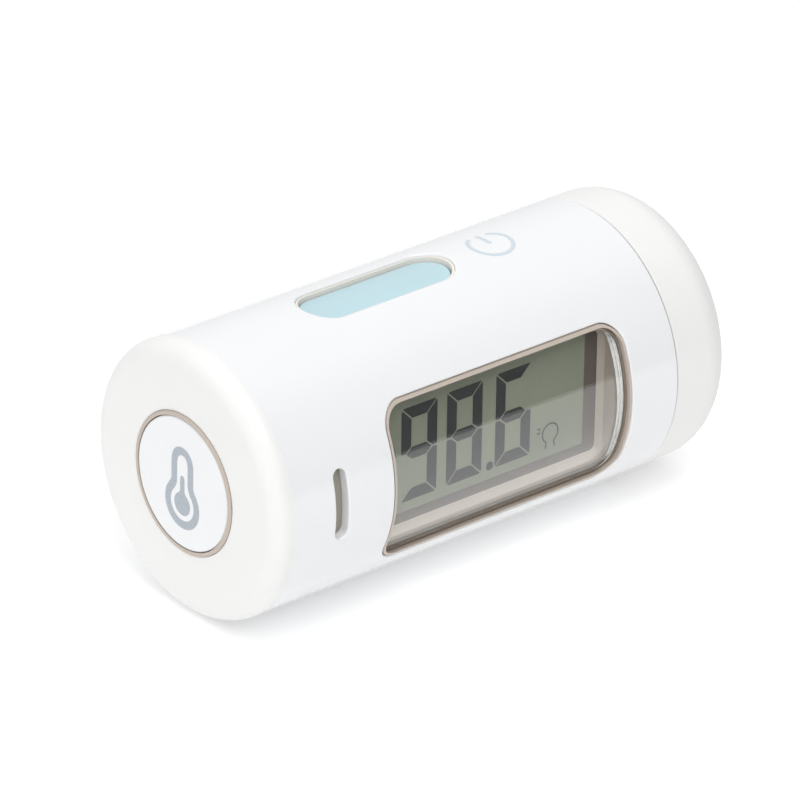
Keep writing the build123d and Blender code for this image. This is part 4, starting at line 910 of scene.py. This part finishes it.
class THERMOMETER_OT_stage(ThermometerOperator, bpy.types.Operator):
    """Adds the floor, the room, the lamps and the camera"""

    bl_idname = "thermometer.stage"
    bl_label = "Stage"

    def execute(self, context):
        scene = context.scene
        stage = scene.thermometer_stage
        scene.view_settings.view_transform = "Standard"
        self.floor(scene, stage)
        self.room(scene, stage)
        lamps = (
            ("top_box", (-0.05, 0.0, 0.9), 1.0, stage.top_power),
            ("front_box", (-0.15, -0.6, 0.8), 0.7, stage.front_power),
            ("left_box", (-0.9, -0.1, 0.4), 0.6, stage.left_power),
        )
        for name, place, size, power in lamps:
            lamp = bpy.data.lights.new(name, "AREA")
            lamp.shape = "SQUARE"
            lamp.size = size
            lamp.energy = power
            holder = bpy.data.objects.new(name, lamp)
            scene.collection.objects.link(holder)
            back = unit(np.array(place))
            right = unit(np.cross((0, 1, 0), back))
            turn = Matrix(np.stack((right, np.cross(back, right), back), -1).tolist())
            holder.matrix_world = Matrix.Translation(place) @ turn.to_4x4()
        self.camera(scene, stage)
        return {"FINISHED"}

    def floor(self, scene, stage):
        """A level sheet under the barrel."""
        count = 9
        line = np.linspace(-stage.floor_size / 2, stage.floor_size / 2, count)
        across, along = np.meshgrid(line + stage.floor_shift, line, indexing="ij")
        level = np.full_like(across, cad_box[0].z)
        points = np.stack((across, along, level), -1).reshape(-1, 3)
        first = (np.arange(count - 1)[:, None] * count + np.arange(count - 1)).ravel()
        faces = np.stack((first, first + count, first + count + 1, first + 1), -1)
        mesh = bpy.data.meshes.new("floor")
        mesh.from_pydata(points, [], faces.tolist())
        sheet = moulded(
            "light table sheet", stage.floor_colour, 0.9, 1 * MM, 1e-5, 0.01,
            Emission_Color=(1, 1, 1, 1), Emission_Strength=stage.floor_glow,
        )
        mesh.materials.append(sheet)
        floor = bpy.data.objects.new("floor", mesh)
        scene.collection.objects.link(floor)

    def room(self, scene, stage):
        """A pale room that is darker low down in front of the display, past the probe end."""
        world = bpy.data.worlds.new("room")
        scene.world = world
        world.use_nodes = True
        tree = world.node_tree
        tree.nodes.clear()
        look = tree.nodes.new("ShaderNodeTexCoord").outputs["Generated"]
        dark_side = unit(np.array((0.58, -0.79, 0.2)))
        pale_from, dark_from = 0.55, 0.85
        towards = add_node(
            tree,
            "ShaderNodeVectorMath",
            {0: look, 1: tuple(dark_side)},
            operation="DOT_PRODUCT",
        ).outputs["Value"]
        strength = spread(tree, towards, stage.room, stage.shade, pale_from, dark_from)
        walls = add_node(
            tree, "ShaderNodeBackground", {"Color": (1, 1, 1, 1), "Strength": strength}
        )
        seen = add_node(tree, "ShaderNodeBackground", {"Color": (1, 1, 1, 1), "Strength": 1.0})
        path = tree.nodes.new("ShaderNodeLightPath")
        mixed = add_node(
            tree,
            "ShaderNodeMixShader",
            {0: path.outputs["Is Camera Ray"], 1: walls.outputs[0], 2: seen.outputs[0]},
        )
        output = tree.nodes.new("ShaderNodeOutputWorld")
        tree.links.new(mixed.outputs[0], output.inputs["Surface"])

    def camera(self, scene, stage):
        """The camera, turned by azimuth, elevation and roll about the barrel's middle."""
        azimuth, elevation, roll = np.radians((stage.azimuth, stage.elevation, stage.roll))
        level = np.cos(elevation)
        back = np.array((np.sin(azimuth) * level, -np.cos(azimuth) * level, np.sin(elevation)))
        level_right = np.array((np.cos(azimuth), np.sin(azimuth), 0))
        level_up = np.cross(back, level_right)
        right = np.cos(roll) * level_right + np.sin(roll) * level_up
        up = np.cross(back, right)
        place = back * stage.distance + right * stage.aim_right + up * stage.aim_up
        lens = bpy.data.cameras.new("camera")
        lens.lens = stage.focal
        lens.sensor_width = 36
        lens.clip_end = 20
        camera = bpy.data.objects.new("camera", lens)
        scene.collection.objects.link(camera)
        turn = Matrix(np.stack((right, up, back), -1).tolist())
        camera.matrix_world = Matrix.Translation(place) @ turn.to_4x4()
        scene.camera = camera


class THERMOMETER_PT_panel(bpy.types.Panel):
    """Lists the operators in the sidebar"""

    bl_idname = "THERMOMETER_PT_panel"
    bl_label = "Ear Thermometer"
    bl_space_type = "VIEW_3D"
    bl_region_type = "UI"
    bl_category = "Thermometer"

    def draw(self, context):
        column = self.layout.column(align=True)
        for operator in OPERATORS:
            column.operator(operator.bl_idname)


OPERATORS = (
    THERMOMETER_OT_finishes,
    THERMOMETER_OT_digits,
    THERMOMETER_OT_reading_sign,
    THERMOMETER_OT_power_mark,
    THERMOMETER_OT_scan_mark,
    THERMOMETER_OT_lens_shade_and_glint,
    THERMOMETER_OT_lens_clips,
    THERMOMETER_OT_cell_mark,
    THERMOMETER_OT_stage,
)
SETTINGS = {
    "thermometer_stage": StageSettings,
    "thermometer_shell": ShellSettings,
    "thermometer_display": DisplaySettings,
}


def register():
    """Registers the settings, the operators and the panel."""
    for entry in (*SETTINGS.values(), *OPERATORS, THERMOMETER_PT_panel):
        bpy.utils.register_class(entry)
    for name, entry in SETTINGS.items():
        setattr(bpy.types.Scene, name, PointerProperty(type=entry))


def unregister():
    """Takes the panel, the operators and the settings away again."""
    for name in SETTINGS:
        delattr(bpy.types.Scene, name)
    for entry in (THERMOMETER_PT_panel, *reversed(OPERATORS), *SETTINGS.values()):
        bpy.utils.unregister_class(entry)


def main():
    """Builds the whole thermometer."""
    register()
    for operator in OPERATORS:
        group, action = operator.bl_idname.split(".")
        getattr(getattr(bpy.ops, group), action)()


if __name__ == "__main__":
    main()
